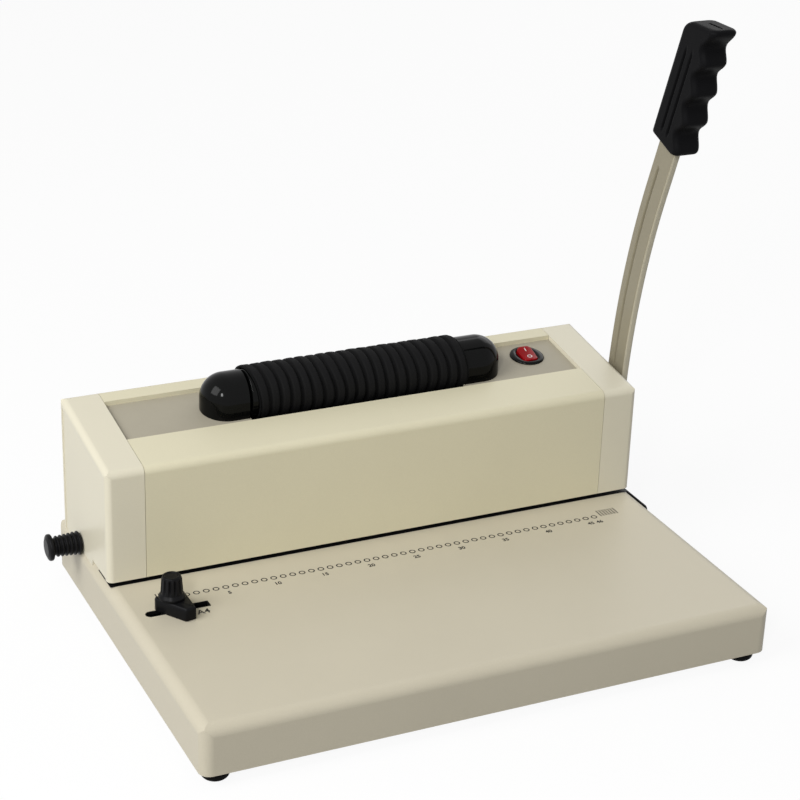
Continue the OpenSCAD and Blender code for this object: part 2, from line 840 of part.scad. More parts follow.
// Solid of a bearing cover at the +X end: a barrel with a round end on upright sides, cut off square at x0
module dome_solid(r, x0, length) {
  mid = dome_x + length - dome_r;
  intersection() {
    union() {
      rod_x(2 * r, x0, mid, roller_y, roller_z);
      translate([mid, roller_y, roller_z]) sphere(r);
      translate([0, roller_y, roller_z - roller_up * 2]) linear_extrude(roller_up * 2) {
        translate([x0, -r]) square([mid - x0, 2 * r]);
        translate([mid, 0]) circle(r);
      }
    }
    translate([x0, roller_y - 2 * dome_r, roller_z - 2 * dome_r]) cube([2 * length, 4 * dome_r, 4 * dome_r]);
  }
}

module bearing_cover(length) {
  difference() {
    dome_solid(dome_r, dome_x, length);
    dome_solid(dome_r - dome_wall, dome_x + dome_wall, length);
    rod_x(axle_d + 3, dome_x - over, dome_x + dome_wall + over, roller_y, roller_z);
    on_panel(0, roller_y) translate([dome_x - over, -2 * dome_r, -4 * roller_up])
      cube([length + 2 * over, 4 * dome_r, 4 * roller_up]);
  }
}

module bearing_cover_left() { color(black) mirror([1, 0, 0]) bearing_cover(dome_len); }

module bearing_cover_right() { color(black) bearing_cover(dome_right); }

module roller_bearings() {
  color(steel) for (s = [0, 1]) mirror([s, 0, 0]) difference() {
    translate([bearing_x, roller_y - bearing_w / 2, roller_z - roller_up * 2])
      cube([bearing_t, bearing_w, roller_up * 2 + bearing_over]);
    rod_x(axle_d + 2 * run_gap, bearing_x - over, bearing_x + bearing_t + over, roller_y, roller_z);
    on_panel(0, roller_y) translate([bearing_x - over, -bearing_w, -4 * roller_up])
      cube([bearing_t + 2 * over, 2 * bearing_w, 4 * roller_up]);
  }
}

module drive_motor() {
  color("#5a5d60") rod_x(2 * motor_r, motor_x, motor_x + motor_len, motor_y, motor_z);
}

module motor_bracket() {
  plate = 3;
  hole = 9;
  ear_l = 24;
  color(steel) {
    difference() {
      translate([motor_x - plate, motor_y - motor_r, bar_z + bar_t])
        cube([plate, 2 * motor_r, motor_z + motor_r - bar_z - bar_t]);
      rod_x(hole, motor_x - plate - over, motor_x + over, motor_y, motor_z);
    }
    translate([motor_x, bar_y, bar_z + bar_t]) cube([ear_l, bar_w, ear_t]);
  }
}

module motor_pulley() {
  color(steel) {
    rod_x(2 * motor_pulley_r, -pulley_x - pulley_t, -pulley_x, motor_y, motor_z);
    rod_x(6, -pulley_x, motor_x, motor_y, motor_z);
  }
}

// Round both pulleys, with the two straight runs on their outer tangents
module belt_loop(grow) {
  a = [motor_y, motor_z];
  b = [roller_y, roller_z];
  span = norm(b - a);
  ra = motor_pulley_r + grow;
  rb = roller_pulley_r + grow;
  along = atan2(b[1] - a[1], b[0] - a[0]);
  tilt = acos((ra - rb) / span);
  translate(a) circle(ra);
  translate(b) circle(rb);
  polygon([for (s = [1, -1]) a + ra * [cos(along + s * tilt), sin(along + s * tilt)],
    for (s = [-1, 1]) b + rb * [cos(along + s * tilt), sin(along + s * tilt)]]);
}

module drive_belt() {
  color(black) along_x(-pulley_x - pulley_t + 0.5, -pulley_x - 0.5) difference() {
    belt_loop(belt_gap + belt_t);
    belt_loop(belt_gap);
  }
}

switch_y = roller_y + 6;
rocker_w = 11;
rocker_l = 15;

// Round switch: a bezel on the panel and a body under it, open for the rocker
module switch_body() {
  color(black) on_panel(cover_x - switch_in, switch_y) difference() {
    union() {
      cylinder(d = switch_d, h = 2.2);
      translate([0, 0, -16]) cylinder(d = switch_d - 3.7, h = 17);
    }
    translate([-rocker_w / 2 - 0.4, -rocker_l / 2 - 1.1, -7]) cube([rocker_w + 0.8, rocker_l + 2.2, 12]);
    translate([0, 0, -1]) rotate([0, 90, 0]) cylinder(d = 2.6, h = rocker_w + 5, center = true);
  }
}

rocker_tilt = 9;

module switch_rocker() {
  color("#b01818") on_panel(cover_x - switch_in, switch_y) translate([0, 0, -1]) {
    rotate([90, 0, 90]) linear_extrude(rocker_w, center = true) rotate(rocker_tilt) difference() {
      translate([-rocker_l / 2, -2]) square([rocker_l, 6.4]);
      translate([0, 34]) circle(r = 30);
    }
    rotate([0, 90, 0]) cylinder(d = 2.4, h = rocker_w + 4, center = true);
  }
}

stop_in = 43.5;
margin_stops = [-(frame_x - stop_in), 0, frame_x - stop_in];

// Rod across the throat's back, with round stops set off its axis
module margin_rod() {
  stop_t = 8;
  color(steel) {
    rod_x(rod_d, knob_x, frame_x + frame_t, rod_y, rod_z);
    for (x = margin_stops) rod_x(2 * stop_r, x - stop_t / 2, x + stop_t / 2, rod_y + stop_throw, rod_z);
  }
}

module margin_knob() {
  rings = 5;
  flange_t = 3;
  shank = knob_len - flange_t;
  pitch = shank / rings;
  color(black) translate([knob_x, rod_y, rod_z]) rotate([0, -90, 0]) {
    cylinder(d = knob_d - 2.4, h = shank);
    for (i = [0 : rings - 1]) translate([0, 0, (i + 0.2) * pitch]) cylinder(d = knob_d, h = pitch * 0.6);
    translate([0, 0, shank]) cylinder(d = knob_d + 5, h = flange_t);
  }
}

// Wedge-shaped side stop that the paper's edge lies against
module guide_block() {
  back = slot_y + 5.5;
  block_w = 19.5;
  toe = 7;
  reach = 17;
  chamfer = 1.5;
  color(black) difference() {
    translate([0, 0, base_top + 0.3]) linear_extrude(block_h) polygon([[stop_x, back], [stop_x - block_w, back],
      [stop_x - block_w, slot_y + 2], [stop_x - toe, slot_y - reach], [stop_x, slot_y - reach + chamfer]]);
    translate([clamp_x, slot_y, base_top]) cylinder(d = stud_d + 0.2, h = block_h + over);
  }
}

// Stud of the clamp with its washer under the base
module guide_clamp_screw() {
  color(steel) translate([clamp_x, slot_y, base_top - base_wall - 3.3]) {
    cylinder(d = 2.2 * slot_w, h = 3);
    cylinder(d = stud_d, h = base_wall + 3.6 + block_h);
  }
}

// Clamp knob: a collar and a fluted stem
module guide_clamp_knob() {
  flutes = 12;
  stem_r = 6.4;
  flute_r = 1.2;
  collar_h = 3;
  color(black) translate([clamp_x, slot_y, base_top + block_h + 0.6]) {
    cylinder(r = stem_r + 0.8, h = collar_h);
    translate([0, 0, collar_h]) linear_extrude(clamp_h - collar_h) difference() {
      circle(stem_r);
      for (i = [0 : flutes - 1]) rotate(i * 360 / flutes) translate([stem_r + 0.4, 0]) circle(flute_r);
    }
  }
}

module chip_tray() {
  z0 = plate_top + 0.3;
  color(black) difference() {
    translate([tray_x - tray_len, tray_y, z0]) cube([tray_len, tray_w, tray_h]);
    translate([tray_x - tray_len + tray_wall, tray_y + tray_wall, z0 + tray_wall])
      cube([tray_len - 2 * tray_wall, tray_w - 2 * tray_wall, tray_h]);
  }
}

module tray_front() {
  front_t = 4;
  border = 4;
  color(black) translate([tray_x, tray_y - border, plate_top + 1])
    cube([front_t, tray_w + 2 * border, base_top - plate_top - 3]);
}

module tray_rails() {
  color(steel) for (y = [tray_y - tray_gap - rail_t, tray_rear + tray_gap])
    translate([tray_x - tray_len, y, plate_top]) cube([frame_x - tray_x + tray_len - 1, rail_t, rail_h]);
}

inlet_in = 36;
inlet_x = cover_x - inlet_in;
inlet_w = 27;
inlet_h = 20;
inlet_z = base_top + housing_h * 0.5;

module inlet_cut() {
  translate([inlet_x - inlet_w / 2, rear_y - cover_t - over, inlet_z - inlet_h / 2])
    cube([inlet_w, cover_t + 2 * over, inlet_h]);
}

// Three-pin mains inlet with its flange on the rear cover
module mains_inlet() {
  depth = 16;
  flange = 2;
  wall = 1.5;
  pin_span = 7;
  color(black) difference() {
    union() {
      translate([inlet_x - inlet_w / 2, rear_y - depth, inlet_z - inlet_h / 2]) cube([inlet_w, depth, inlet_h]);
      translate([inlet_x - inlet_w / 2 - flange, rear_y, inlet_z - inlet_h / 2 - flange])
        cube([inlet_w + 2 * flange, flange, inlet_h + 2 * flange]);
    }
    translate([inlet_x - inlet_w / 2 + wall, rear_y - depth + 2, inlet_z - inlet_h / 2 + wall])
      cube([inlet_w - 2 * wall, depth + flange, inlet_h - 2 * wall]);
  }
  color(steel) for (i = [-1, 0, 1]) translate([inlet_x + i * pin_span - 1, rear_y - depth + 2, inlet_z - 2 * abs(i)])
    cube([2, depth - 4, 4]);
}

base_shell();
bottom_plate();
rubber_feet();
foot_screws();
side_frame_left();
side_frame_right();
frame_screws();
tie_bar();
die_block();
pin_guide_plate();
plate_screws();
guide_posts();
front_cover();
rear_cover();
top_panel();
end_cap_left();
end_cap_right();
cover_screws();
shaft_bushes();
main_shaft();
cam_left();
cam_right();
lever_arm();
lever_grip();
lever_bolt();
press_beam();
punch_pins();
return_springs();
roller_sleeve();
roller_axle();
roller_pulley();
bearing_cover_left();
bearing_cover_right();
roller_bearings();
drive_motor();
motor_bracket();
motor_pulley();
drive_belt();
switch_body();
switch_rocker();
margin_rod();
margin_knob();
guide_block();
guide_clamp_screw();
guide_clamp_knob();
chip_tray();
tray_front();
tray_rails();
mains_inlet();
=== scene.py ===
import json
import math
from collections import namedtuple

import bmesh
import bpy
import numpy as np
from mathutils import Matrix, Vector


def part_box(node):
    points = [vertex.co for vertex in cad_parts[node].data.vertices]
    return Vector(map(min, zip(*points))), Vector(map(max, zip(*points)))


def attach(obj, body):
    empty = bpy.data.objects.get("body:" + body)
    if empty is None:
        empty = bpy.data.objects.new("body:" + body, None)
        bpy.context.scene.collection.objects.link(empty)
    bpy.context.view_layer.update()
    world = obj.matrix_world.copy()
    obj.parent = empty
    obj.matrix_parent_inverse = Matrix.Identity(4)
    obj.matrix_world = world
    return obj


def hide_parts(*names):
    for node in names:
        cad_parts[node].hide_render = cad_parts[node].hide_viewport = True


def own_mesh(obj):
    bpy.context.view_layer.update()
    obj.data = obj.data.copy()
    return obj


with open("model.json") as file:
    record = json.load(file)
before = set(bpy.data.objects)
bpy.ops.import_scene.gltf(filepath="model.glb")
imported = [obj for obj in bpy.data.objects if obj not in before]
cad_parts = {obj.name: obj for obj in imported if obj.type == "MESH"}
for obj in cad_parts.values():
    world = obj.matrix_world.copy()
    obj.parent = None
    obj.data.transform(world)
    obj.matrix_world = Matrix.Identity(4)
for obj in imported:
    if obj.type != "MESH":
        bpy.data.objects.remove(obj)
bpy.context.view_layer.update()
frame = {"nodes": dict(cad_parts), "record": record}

MM = 0.001
TAU = 2 * math.pi
QUARTER = math.pi / 2
X, Y, Z = np.eye(3)

Box = namedtuple("Box", "low high middle")


def node_box(node):
    """A CAD node's box in millimetres, as its low corner, its high corner and its middle."""
    low, high = (np.array(corner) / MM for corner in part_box(node))
    return Box(low, high, (low + high) / 2)


# Places that several pieces share, in millimetres from the middle of the base at desk level
BASE_TOP = node_box("base_shell").high[2]
SHAFT_Y, SHAFT_Z = node_box("main_shaft").middle[1:]
ROLLER_Y, ROLLER_Z = node_box("roller_axle").middle[1:]
SLOT_Y = node_box("guide_clamp_knob").middle[1]


# Camera

def photo_camera():
    """The photograph's viewpoint: the columns of the camera's turn are its right, its up and its backward
    direction, and its place is in metres."""
    right = Vector((0.90704775, -0.41983004, 0.03173501))
    up = Vector((0.14396739, 0.38010762, 0.9136693))
    ahead = Vector((0.39564854, 0.82417288, -0.4052176))
    place = Vector((-0.51995, -1.06835, 0.67749))
    data = bpy.data.cameras.new("photo_camera")
    data.sensor_fit = "HORIZONTAL"
    data.sensor_width, data.lens, data.clip_end = 36.0, 95.39, 20.0
    camera = bpy.data.objects.new("photo_camera", data)
    turn = Matrix((right, up, -ahead)).transposed().to_4x4()
    camera.matrix_world = Matrix.Translation(place) @ turn
    bpy.context.scene.collection.objects.link(camera)
    bpy.context.scene.camera = camera


photo_camera()


# Materials

def shader_node(tree, kind, **sockets):
    """A new node of a material, with constants on the input sockets that are named."""
    node = tree.nodes.new("ShaderNode" + kind)
    for name, value in sockets.items():
        node.inputs[name.replace("_", " ")].default_value = value
    return node


def maths(tree, operation, *terms):
    """The outlet of a maths node. Each term is a number or the outlet of another node."""
    node = shader_node(tree, "Math")
    node.operation = operation
    for socket, term in zip(node.inputs, terms):
        if isinstance(term, float):
            socket.default_value = term
        else:
            tree.links.new(term, socket)
    return node.outputs[0]


def finish(name, light, dark, rough, metal=0.0, cloud=14.0, grain=900.0, relief=0.05, depth=0.0001,
           shine=0.5, stretch=(1.0, 1.0, 1.0), wear_and_highlight=None):
    """A procedural finish. Clouds of noise run between two close colours and two roughnesses. A finer noise
    is the relief of the surface and a slight mottle of its colour. stretch lengthens both along an axis, as
    brushing does. Where a piece has a share of paler colour at its points, the colour goes towards the paler
    colour by that share: wear on most pieces, a painted highlight on the lever's edges."""
    cloud_detail, cloud_rough, grain_detail, grain_share = 6.0, 0.6, 3.0, 0.7
    dark_until, light_from = 0.6, 1.0
    material = bpy.data.materials.new(name)
    material.use_nodes = True
    tree = material.node_tree
    link = tree.links.new
    shader = tree.nodes["Principled BSDF"]
    shader.inputs["Metallic"].default_value = metal
    shader.inputs["Specular IOR Level"].default_value = shine
    place = shader_node(tree, "TexCoord")
    turn = shader_node(tree, "Mapping", Scale=stretch)
    clouds = shader_node(tree, "TexNoise", Scale=cloud, Detail=cloud_detail, Roughness=cloud_rough)
    speck = shader_node(tree, "TexNoise", Scale=grain, Detail=grain_detail)
    link(place.outputs["Object"], turn.inputs["Vector"])
    link(turn.outputs["Vector"], clouds.inputs["Vector"])
    link(turn.outputs["Vector"], speck.inputs["Vector"])
    ramp = shader_node(tree, "ValToRGB")
    first, last = ramp.color_ramp.elements
    first.position, first.color = dark_until, (*dark, 1.0)
    last.position, last.color = light_from, (*light, 1.0)
    mottle = maths(tree, "MULTIPLY_ADD", speck.outputs["Fac"], grain_share, clouds.outputs["Fac"])
    link(mottle, ramp.inputs["Fac"])
    colour = ramp.outputs["Color"]
    if wear_and_highlight:
        wear_and_highlight_share = shader_node(tree, "Attribute")
        wear_and_highlight_share.attribute_name = "wear_and_highlight_share"
        blend = shader_node(tree, "Mix")
        blend.data_type = "RGBA"
        blend.inputs["B"].default_value = (*wear_and_highlight, 1.0)
        link(wear_and_highlight_share.outputs["Fac"], blend.inputs["Factor"])
        link(colour, blend.inputs["A"])
        colour = blend.outputs["Result"]
    link(colour, shader.inputs["Base Color"])
    gloss = shader_node(tree, "MapRange", To_Min=rough[0], To_Max=rough[1])
    link(clouds.outputs["Fac"], gloss.inputs["Value"])
    link(gloss.outputs["Result"], shader.inputs["Roughness"])
    bump = shader_node(tree, "Bump", Strength=relief, Distance=depth)
    link(speck.outputs["Fac"], bump.inputs["Height"])
    link(bump.outputs["Normal"], shader.inputs["Normal"])
    return material


CREAM = finish("cream_powder_coat", (0.573, 0.527, 0.411), (0.547, 0.502, 0.390), (0.38, 0.48),
               cloud=9, grain=1400, relief=0.12, shine=0.3)
COVER_CREAM = finish("cream_cover_paint", (0.700, 0.655, 0.476), (0.672, 0.628, 0.455), (0.36, 0.46),
                     cloud=8, grain=1400, relief=0.12, shine=0.3)
CAP_CREAM = finish("cream_moulded_caps", (0.714, 0.672, 0.532), (0.690, 0.649, 0.512), (0.34, 0.42),
                   cloud=7, grain=1900, relief=0.06, shine=0.3)
# The paler second colour of the lever paint is a painted highlight on the lever's rounded edges.
LEVER_BEIGE = finish("beige_lever_paint", (0.278, 0.250, 0.178), (0.256, 0.229, 0.161), (0.34, 0.44),
                     cloud=25, grain=1500, relief=0.12, shine=0.3, wear_and_highlight=(0.54, 0.50, 0.385))
PANEL = finish("recess_paint", (0.398, 0.365, 0.285), (0.369, 0.338, 0.263), (0.45, 0.6),
               cloud=30, grain=2600, relief=0.25, shine=0.25)
RUBBER = finish("matte_black_rubber", (0.0062, 0.0062, 0.0064), (0.0042, 0.0042, 0.0044), (0.6, 0.8),
                cloud=60, grain=1500, relief=0.5, depth=0.0002, shine=0.05, wear_and_highlight=(0.0092, 0.0092, 0.0095))
GLOSS = finish("glossy_black_covers", (0.0030, 0.0032, 0.0031), (0.0022, 0.0023, 0.0023), (0.07, 0.12),
               cloud=20, grain=700, relief=0.02, shine=0.1)
BLACK = finish("satin_black_plastic", (0.0068, 0.0068, 0.0074), (0.0048, 0.0048, 0.0052), (0.26, 0.38),
               cloud=30, grain=2200, relief=0.15, shine=0.07, wear_and_highlight=(0.0115, 0.0115, 0.0122))
GRIP_BLACK = finish("grip_black_plastic", (0.0048, 0.0048, 0.0054), (0.0034, 0.0034, 0.0039), (0.44, 0.56),
                    cloud=30, grain=2200, relief=0.15, shine=0.035, wear_and_highlight=(0.0075, 0.0075, 0.0082))
STEEL = finish("ground_steel", (0.58, 0.59, 0.60), (0.48, 0.49, 0.50), (0.24, 0.38), metal=1.0,
               cloud=40, grain=500, relief=0.1, stretch=(0.05, 1.0, 1.0))
BRONZE = finish("sintered_bronze", (0.47, 0.32, 0.15), (0.40, 0.27, 0.12), (0.35, 0.5), metal=1.0,
                cloud=200, grain=3000, relief=0.3)
RED = finish("red_rocker_plastic", (0.300, 0.004, 0.007), (0.240, 0.003, 0.005), (0.14, 0.22),
             cloud=120, grain=900, relief=0.02, shine=0.1)
MOTOR = finish("motor_can_paint", (0.11, 0.115, 0.12), (0.09, 0.094, 0.1), (0.35, 0.5),
               cloud=30, grain=1200, relief=0.1)
INK = finish("black_ink", (0.022, 0.021, 0.020), (0.013, 0.013, 0.012), (0.5, 0.6),
             cloud=300, grain=2500, relief=0.1, shine=0.2)
WHITE = finish("white_marks", (0.75, 0.74, 0.72), (0.70, 0.69, 0.67), (0.4, 0.5),
               cloud=300, grain=2500, relief=0.1)

SLOT_FINISH = {"cream_paint": CREAM, "cream_plastic": CAP_CREAM, "panel_paint": PANEL, "steel": STEEL,
               "black_rubber": RUBBER, "gloss_black": GLOSS, "black_plastic": BLACK, "bronze": BRONZE,
               "red_rocker": RED, "motor_paint": MOTOR}
NODE_FINISH = {"front_cover": COVER_CREAM, "rear_cover": COVER_CREAM}
for part in frame["record"]["subparts"]:
    mesh = frame["nodes"][part["node"]].data
    mesh.materials.clear()
    mesh.materials.append(NODE_FINISH.get(part["node"], SLOT_FINISH[part["material_slot"]]))


# Surfaces

def dressed(name, mesh, body, material):
    """An object of a finished mesh, which rides on a body and has a slot and a finish."""
    mesh.materials.append(material)
    made = bpy.data.objects.new(name, mesh)
    bpy.context.scene.collection.objects.link(made)
    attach(made, body)
    return made


def piece(name, verts, faces, body, slot, material, crease=35.0, wear_and_highlight_share=None):
    """A mesh from arrays of points in millimetres and of faces. Doubles are merged, normals turned outwards,
    and only edges sharper than crease degrees are left sharp. The last argument is a share of paler colour
    for
    each point: wear on most pieces, a painted highlight on the lever's edges."""
    same_point, no_length = 2e-7, 1e-7
    mesh = bpy.data.meshes.new(name)
    mesh.from_pydata((np.asarray(verts, float) * MM).tolist(), [], np.asarray(faces).tolist())
    if wear_and_highlight_share is not None:
        wear = mesh.attributes.new("wear_and_highlight_share", "FLOAT", "POINT")
        wear.data.foreach_set("value", np.ravel(wear_and_highlight_share).astype(np.float32))
    work = bmesh.new()
    work.from_mesh(mesh)
    bmesh.ops.remove_doubles(work, verts=work.verts, dist=same_point)
    bmesh.ops.dissolve_degenerate(work, edges=work.edges, dist=no_length)
    bmesh.ops.recalc_face_normals(work, faces=work.faces)
    work.to_mesh(mesh)
    work.free()
    mesh.shade_smooth()
    mesh.set_sharp_from_angle(angle=math.radians(crease))
    return dressed(name, mesh, body, material)


def quads(rows, cols, start=0):
    """Faces of a grid whose columns run round and close: each joins a point, the next one round, and the two
    in the next row."""
    i, j = np.meshgrid(np.arange(rows - 1), np.arange(cols), indexing="ij")
    a, b = i * cols + j, i * cols + (j + 1) % cols
    return np.stack([a, b, b + cols, a + cols], -1).reshape(-1, 4) + start


def merged(*grids):
    """Points and faces of several closed grids, one after another in one mesh."""
    starts = np.cumsum([0] + [g.shape[0] * g.shape[1] for g in grids[:-1]])
    verts = np.concatenate([g.reshape(-1, 3) for g in grids])
    faces = np.concatenate([quads(g.shape[0], g.shape[1], s) for g, s in zip(grids, starts)])
    return verts, faces


def closed(points):
    """An outline whose first point comes again at its end."""
    return np.concatenate([points, points[:1]])


def run_in(grid, ends=(0, -1)):
    """One row for each of a grid's end rows, with all its points at the middle of that row."""
    return [np.repeat(grid[end].mean(0)[None, None], grid.shape[1], 1) for end in ends]


def fillet(corners, steps=7):
    """Points round a polyline of corners (u, v, radius). Each corner becomes the arc that touches both of
    its edges, whose middle lies on the corner's bisector. Also gives each point's direction out of the
    corner."""
    nearly_one = 0.999999
    c = np.asarray(corners, float)
    p, r = c[:, :2], c[:, 2:]
    to_last, to_next = np.roll(p, 1, 0) - p, np.roll(p, -1, 0) - p
    u = to_last / np.linalg.norm(to_last, axis=1, keepdims=True)
    v = to_next / np.linalg.norm(to_next, axis=1, keepdims=True)
    half = np.arccos(np.clip((u * v).sum(1, keepdims=True), -nearly_one, nearly_one)) / 2
    middle = p + (u + v) / np.linalg.norm(u + v, axis=1, keepdims=True) * r / np.sin(half)
    first, last = p + u * r / np.tan(half) - middle, p + v * r / np.tan(half) - middle
    a0 = np.arctan2(first[:, 1], first[:, 0])
    sweep = (np.arctan2(last[:, 1], last[:, 0]) - a0 + math.pi) % TAU - math.pi
    a = a0[:, None] + sweep[:, None] * np.linspace(0, 1, steps)[None, :]
    out = np.stack([np.cos(a), np.sin(a)], -1)
    points = middle[:, None, :] + r[:, None, :] * out
    turn = np.sign(u[:, 0] * v[:, 1] - u[:, 1] * v[:, 0])
    return points.reshape(-1, 2), (out * turn[:, None, None]).reshape(-1, 2)


def rounded_rectangle(half_u, half_v, r, steps):
    """Points round a rectangle about the middle, with its corners rounded."""
    return fillet([(half_u, -half_v, r), (half_u, half_v, r), (-half_u, half_v, r), (-half_u, -half_v, r)],
                  steps)[0]


def even(points, count):
    """Points at even steps along a closed outline, found from the length run so far."""
    ring = closed(points)
    run = np.concatenate([[0], np.cumsum(np.linalg.norm(np.diff(ring, axis=0), axis=1))])
    at = np.arange(count) * run[-1] / count
    return np.stack([np.interp(at, run, ring[:, k]) for k in range(2)], -1)


def outline(corners, steps=7):
    """A rounded outline and its directions outwards, whichever way round its corners are given."""
    p, n = fillet(corners, steps)
    return p, n if (n * (p - p.mean(0))).sum() > 0 else -n


def lathe(profile, middle, axis="x", around=96):
    """A profile of (distance along the axis, radius) carried round an axis through middle."""
    t = np.arange(around) * TAU / around
    d, r = np.asarray(profile)[:, 0:1], np.asarray(profile)[:, 1:2]
    one = np.ones_like(t)[None, :]
    if axis == "x":
        xyz = (d * one, r * np.cos(t), r * np.sin(t))
    else:
        xyz = (r * np.cos(t), r * np.sin(t), d * one)
    return np.stack(xyz, -1) + np.asarray(middle, float)


def prism(corners, rows, middle, across, upward, out, steps=7, capped=True):
    """An outline of rounded corners carried along the direction out. Each row is (inset, height): the
    outline is drawn in by the inset along its normals. Where it is capped, both ends run in to the
    outline's middle."""
    p, n = outline(corners, steps)
    inset, height = np.asarray(rows, float).T
    flat = p[None] - n[None] * inset[:, None, None]
    if capped:
        ends = np.repeat(p.mean(0)[None, None], len(p), 1)
        flat = np.concatenate([ends, flat, ends])
        height = np.concatenate([height[:1], height, height[-1:]])
    axes = np.array([across, upward], float)
    return flat @ axes + height[:, None, None] * np.asarray(out, float) + np.asarray(middle, float)


def rounded_rows(low, high, r, steps=5):
    """Rows of a prism whose two ends are rounded over by a quarter circle of radius r."""
    a = np.linspace(0, QUARTER, steps)
    foot = np.stack([r - r * np.sin(a), low + r - r * np.cos(a)], -1)
    head = np.stack([r - r * np.cos(a), high - r + r * np.sin(a)], -1)
    return np.concatenate([foot, head])


def smooth(x, a, b):
    """A soft step from 0 at a to 1 at b."""
    t = np.clip((x - a) / (b - a), 0, 1)
    return t * t * (3 - 2 * t)


def bell(x, at, width):
    """A bell curve: 1 at the place at, falling off to both sides within about twice the width."""
    return np.exp(-((x - at) / width) ** 2)


def rounding(rest, r):
    """How far a quarter circle of radius r draws a surface in at the distance rest from its end."""
    over = np.clip(r - rest, 0, r)
    return r - np.sqrt(r ** 2 - over ** 2)


# Lever: from the shaft it leans forward, runs straight, bends on a circle and runs straight into the grip

LEAN, STRAIGHT, BEND_R, BEND_LEN, TOP_LEN = math.radians(3.7), 10.0, 565.0, 156.0, 39.0
LEAN_END = LEAN + BEND_LEN / BEND_R
GRIP_AT = STRAIGHT + BEND_LEN + TOP_LEN
BAR_T, BAR_W = 5.0, 20.0
BAR_OUT = node_box("lever_arm").high[0]
BAR_MIDDLE = BAR_OUT - BAR_T / 2


def lever_path(s):
    """Point and lean of the lever's middle line at a length s from the shaft. Along the straight stretches
    the point moves by the sine and cosine of the lean, and on the bend by those of a circle."""
    s = np.asarray(s, float)
    lean = LEAN + np.clip(s - STRAIGHT, 0, BEND_LEN) / BEND_R
    y = -np.minimum(s, STRAIGHT) * math.sin(LEAN) + BEND_R * (np.cos(lean) - math.cos(LEAN))
    z = np.minimum(s, STRAIGHT) * math.cos(LEAN) + BEND_R * (np.sin(lean) - math.sin(LEAN))
    rest = np.clip(s - STRAIGHT - BEND_LEN, 0, None)
    y, z = y - rest * np.sin(lean), z + rest * np.cos(lean)
    return np.stack([np.zeros_like(s), y + SHAFT_Y, z + SHAFT_Z], -1), lean


def lever_bar():
    """The bar: a rounded flat section carried along the lever's path, with a narrow bell-shaped groove
    pressed into its left face that fades out below the grip, and the hub turned round the shaft. Its
    rounded edges are painted paler, a painted highlight where light catches them."""
    h, t = BAR_W / 2, BAR_T / 2
    corner, corner_steps, face_steps, hair = 1.3, 6, 141, 1e-6
    groove_at, groove_w, groove_d = 2.4, 0.8, 2.0
    groove_from, groove_full, groove_fades, groove_to = 18.0, 30.0, 178.0, 184.0
    fine_from, fine_to, bar_end = 160.0, 190.0, GRIP_AT + 60.0
    unhighlighted_margin = 0.1
    edge, _ = fillet([(-h, -t, corner), (h, -t, corner), (h, t, corner), (-h, t, corner)], corner_steps)
    across = np.linspace(-h + corner, h - corner, face_steps)
    face = np.stack([across, np.full_like(across, -t)], -1)
    section = np.concatenate([edge[:corner_steps], face[1:-1], edge[corner_steps:]])
    s = np.concatenate([np.linspace(0, fine_from, 60), np.linspace(fine_from, fine_to, 31)[1:],
                        np.linspace(fine_to, bar_end, 20)[1:]])
    points, lean = lever_path(s)
    reach = smooth(s, groove_from, groove_full) * (1 - smooth(s, groove_fades, groove_to))
    dip = groove_d * bell(section[:, 0], groove_at, groove_w) * (section[:, 1] < -t + hair)
    x = BAR_MIDDLE + section[None, :, 1] + reach[:, None] * dip[None, :]
    y = points[:, None, 1] + np.cos(lean)[:, None] * section[None, :, 0]
    z = points[:, None, 2] + np.sin(lean)[:, None] * section[None, :, 0]
    bar = np.stack([x, y, z], -1)
    first, last = run_in(bar)
    bar = np.concatenate([first, bar, last])
    # Painted highlight: the bar's rounded edges, off its flat faces, get a share of paler colour.
    wear_and_highlight = np.clip(1 - (h - np.abs(section[:, 0])) / corner, 0, 1) * (np.abs(section[:, 1]) < t - unhighlighted_margin)

    hub_in, hub_r = node_box("lever_arm").low[0], 17.0
    bore_r, neck_r, bar_in = 7.2, 0.8 * hub_r, BAR_OUT - BAR_T
    sharp, neck_edge, inner_edge, rim_edge = 0.01, 0.8, 0.6, 0.9
    turned, _ = fillet([(hub_in, bore_r, sharp), (hub_in, neck_r, neck_edge), (bar_in, neck_r, inner_edge),
                        (bar_in, hub_r, rim_edge), (BAR_OUT, hub_r, rim_edge), (BAR_OUT, bore_r, sharp)], 5)
    hub = lathe(closed(turned), (0, SHAFT_Y, SHAFT_Z))
    wear_and_highlight_share = np.concatenate([np.tile(wear_and_highlight, bar.shape[0]), np.zeros(hub.shape[0] * hub.shape[1])])
    made = piece("lever_bar", *merged(bar, hub), "lever", "cream_paint", LEVER_BEIGE, wear_and_highlight_share=wear_and_highlight_share)
    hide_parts("lever_arm")


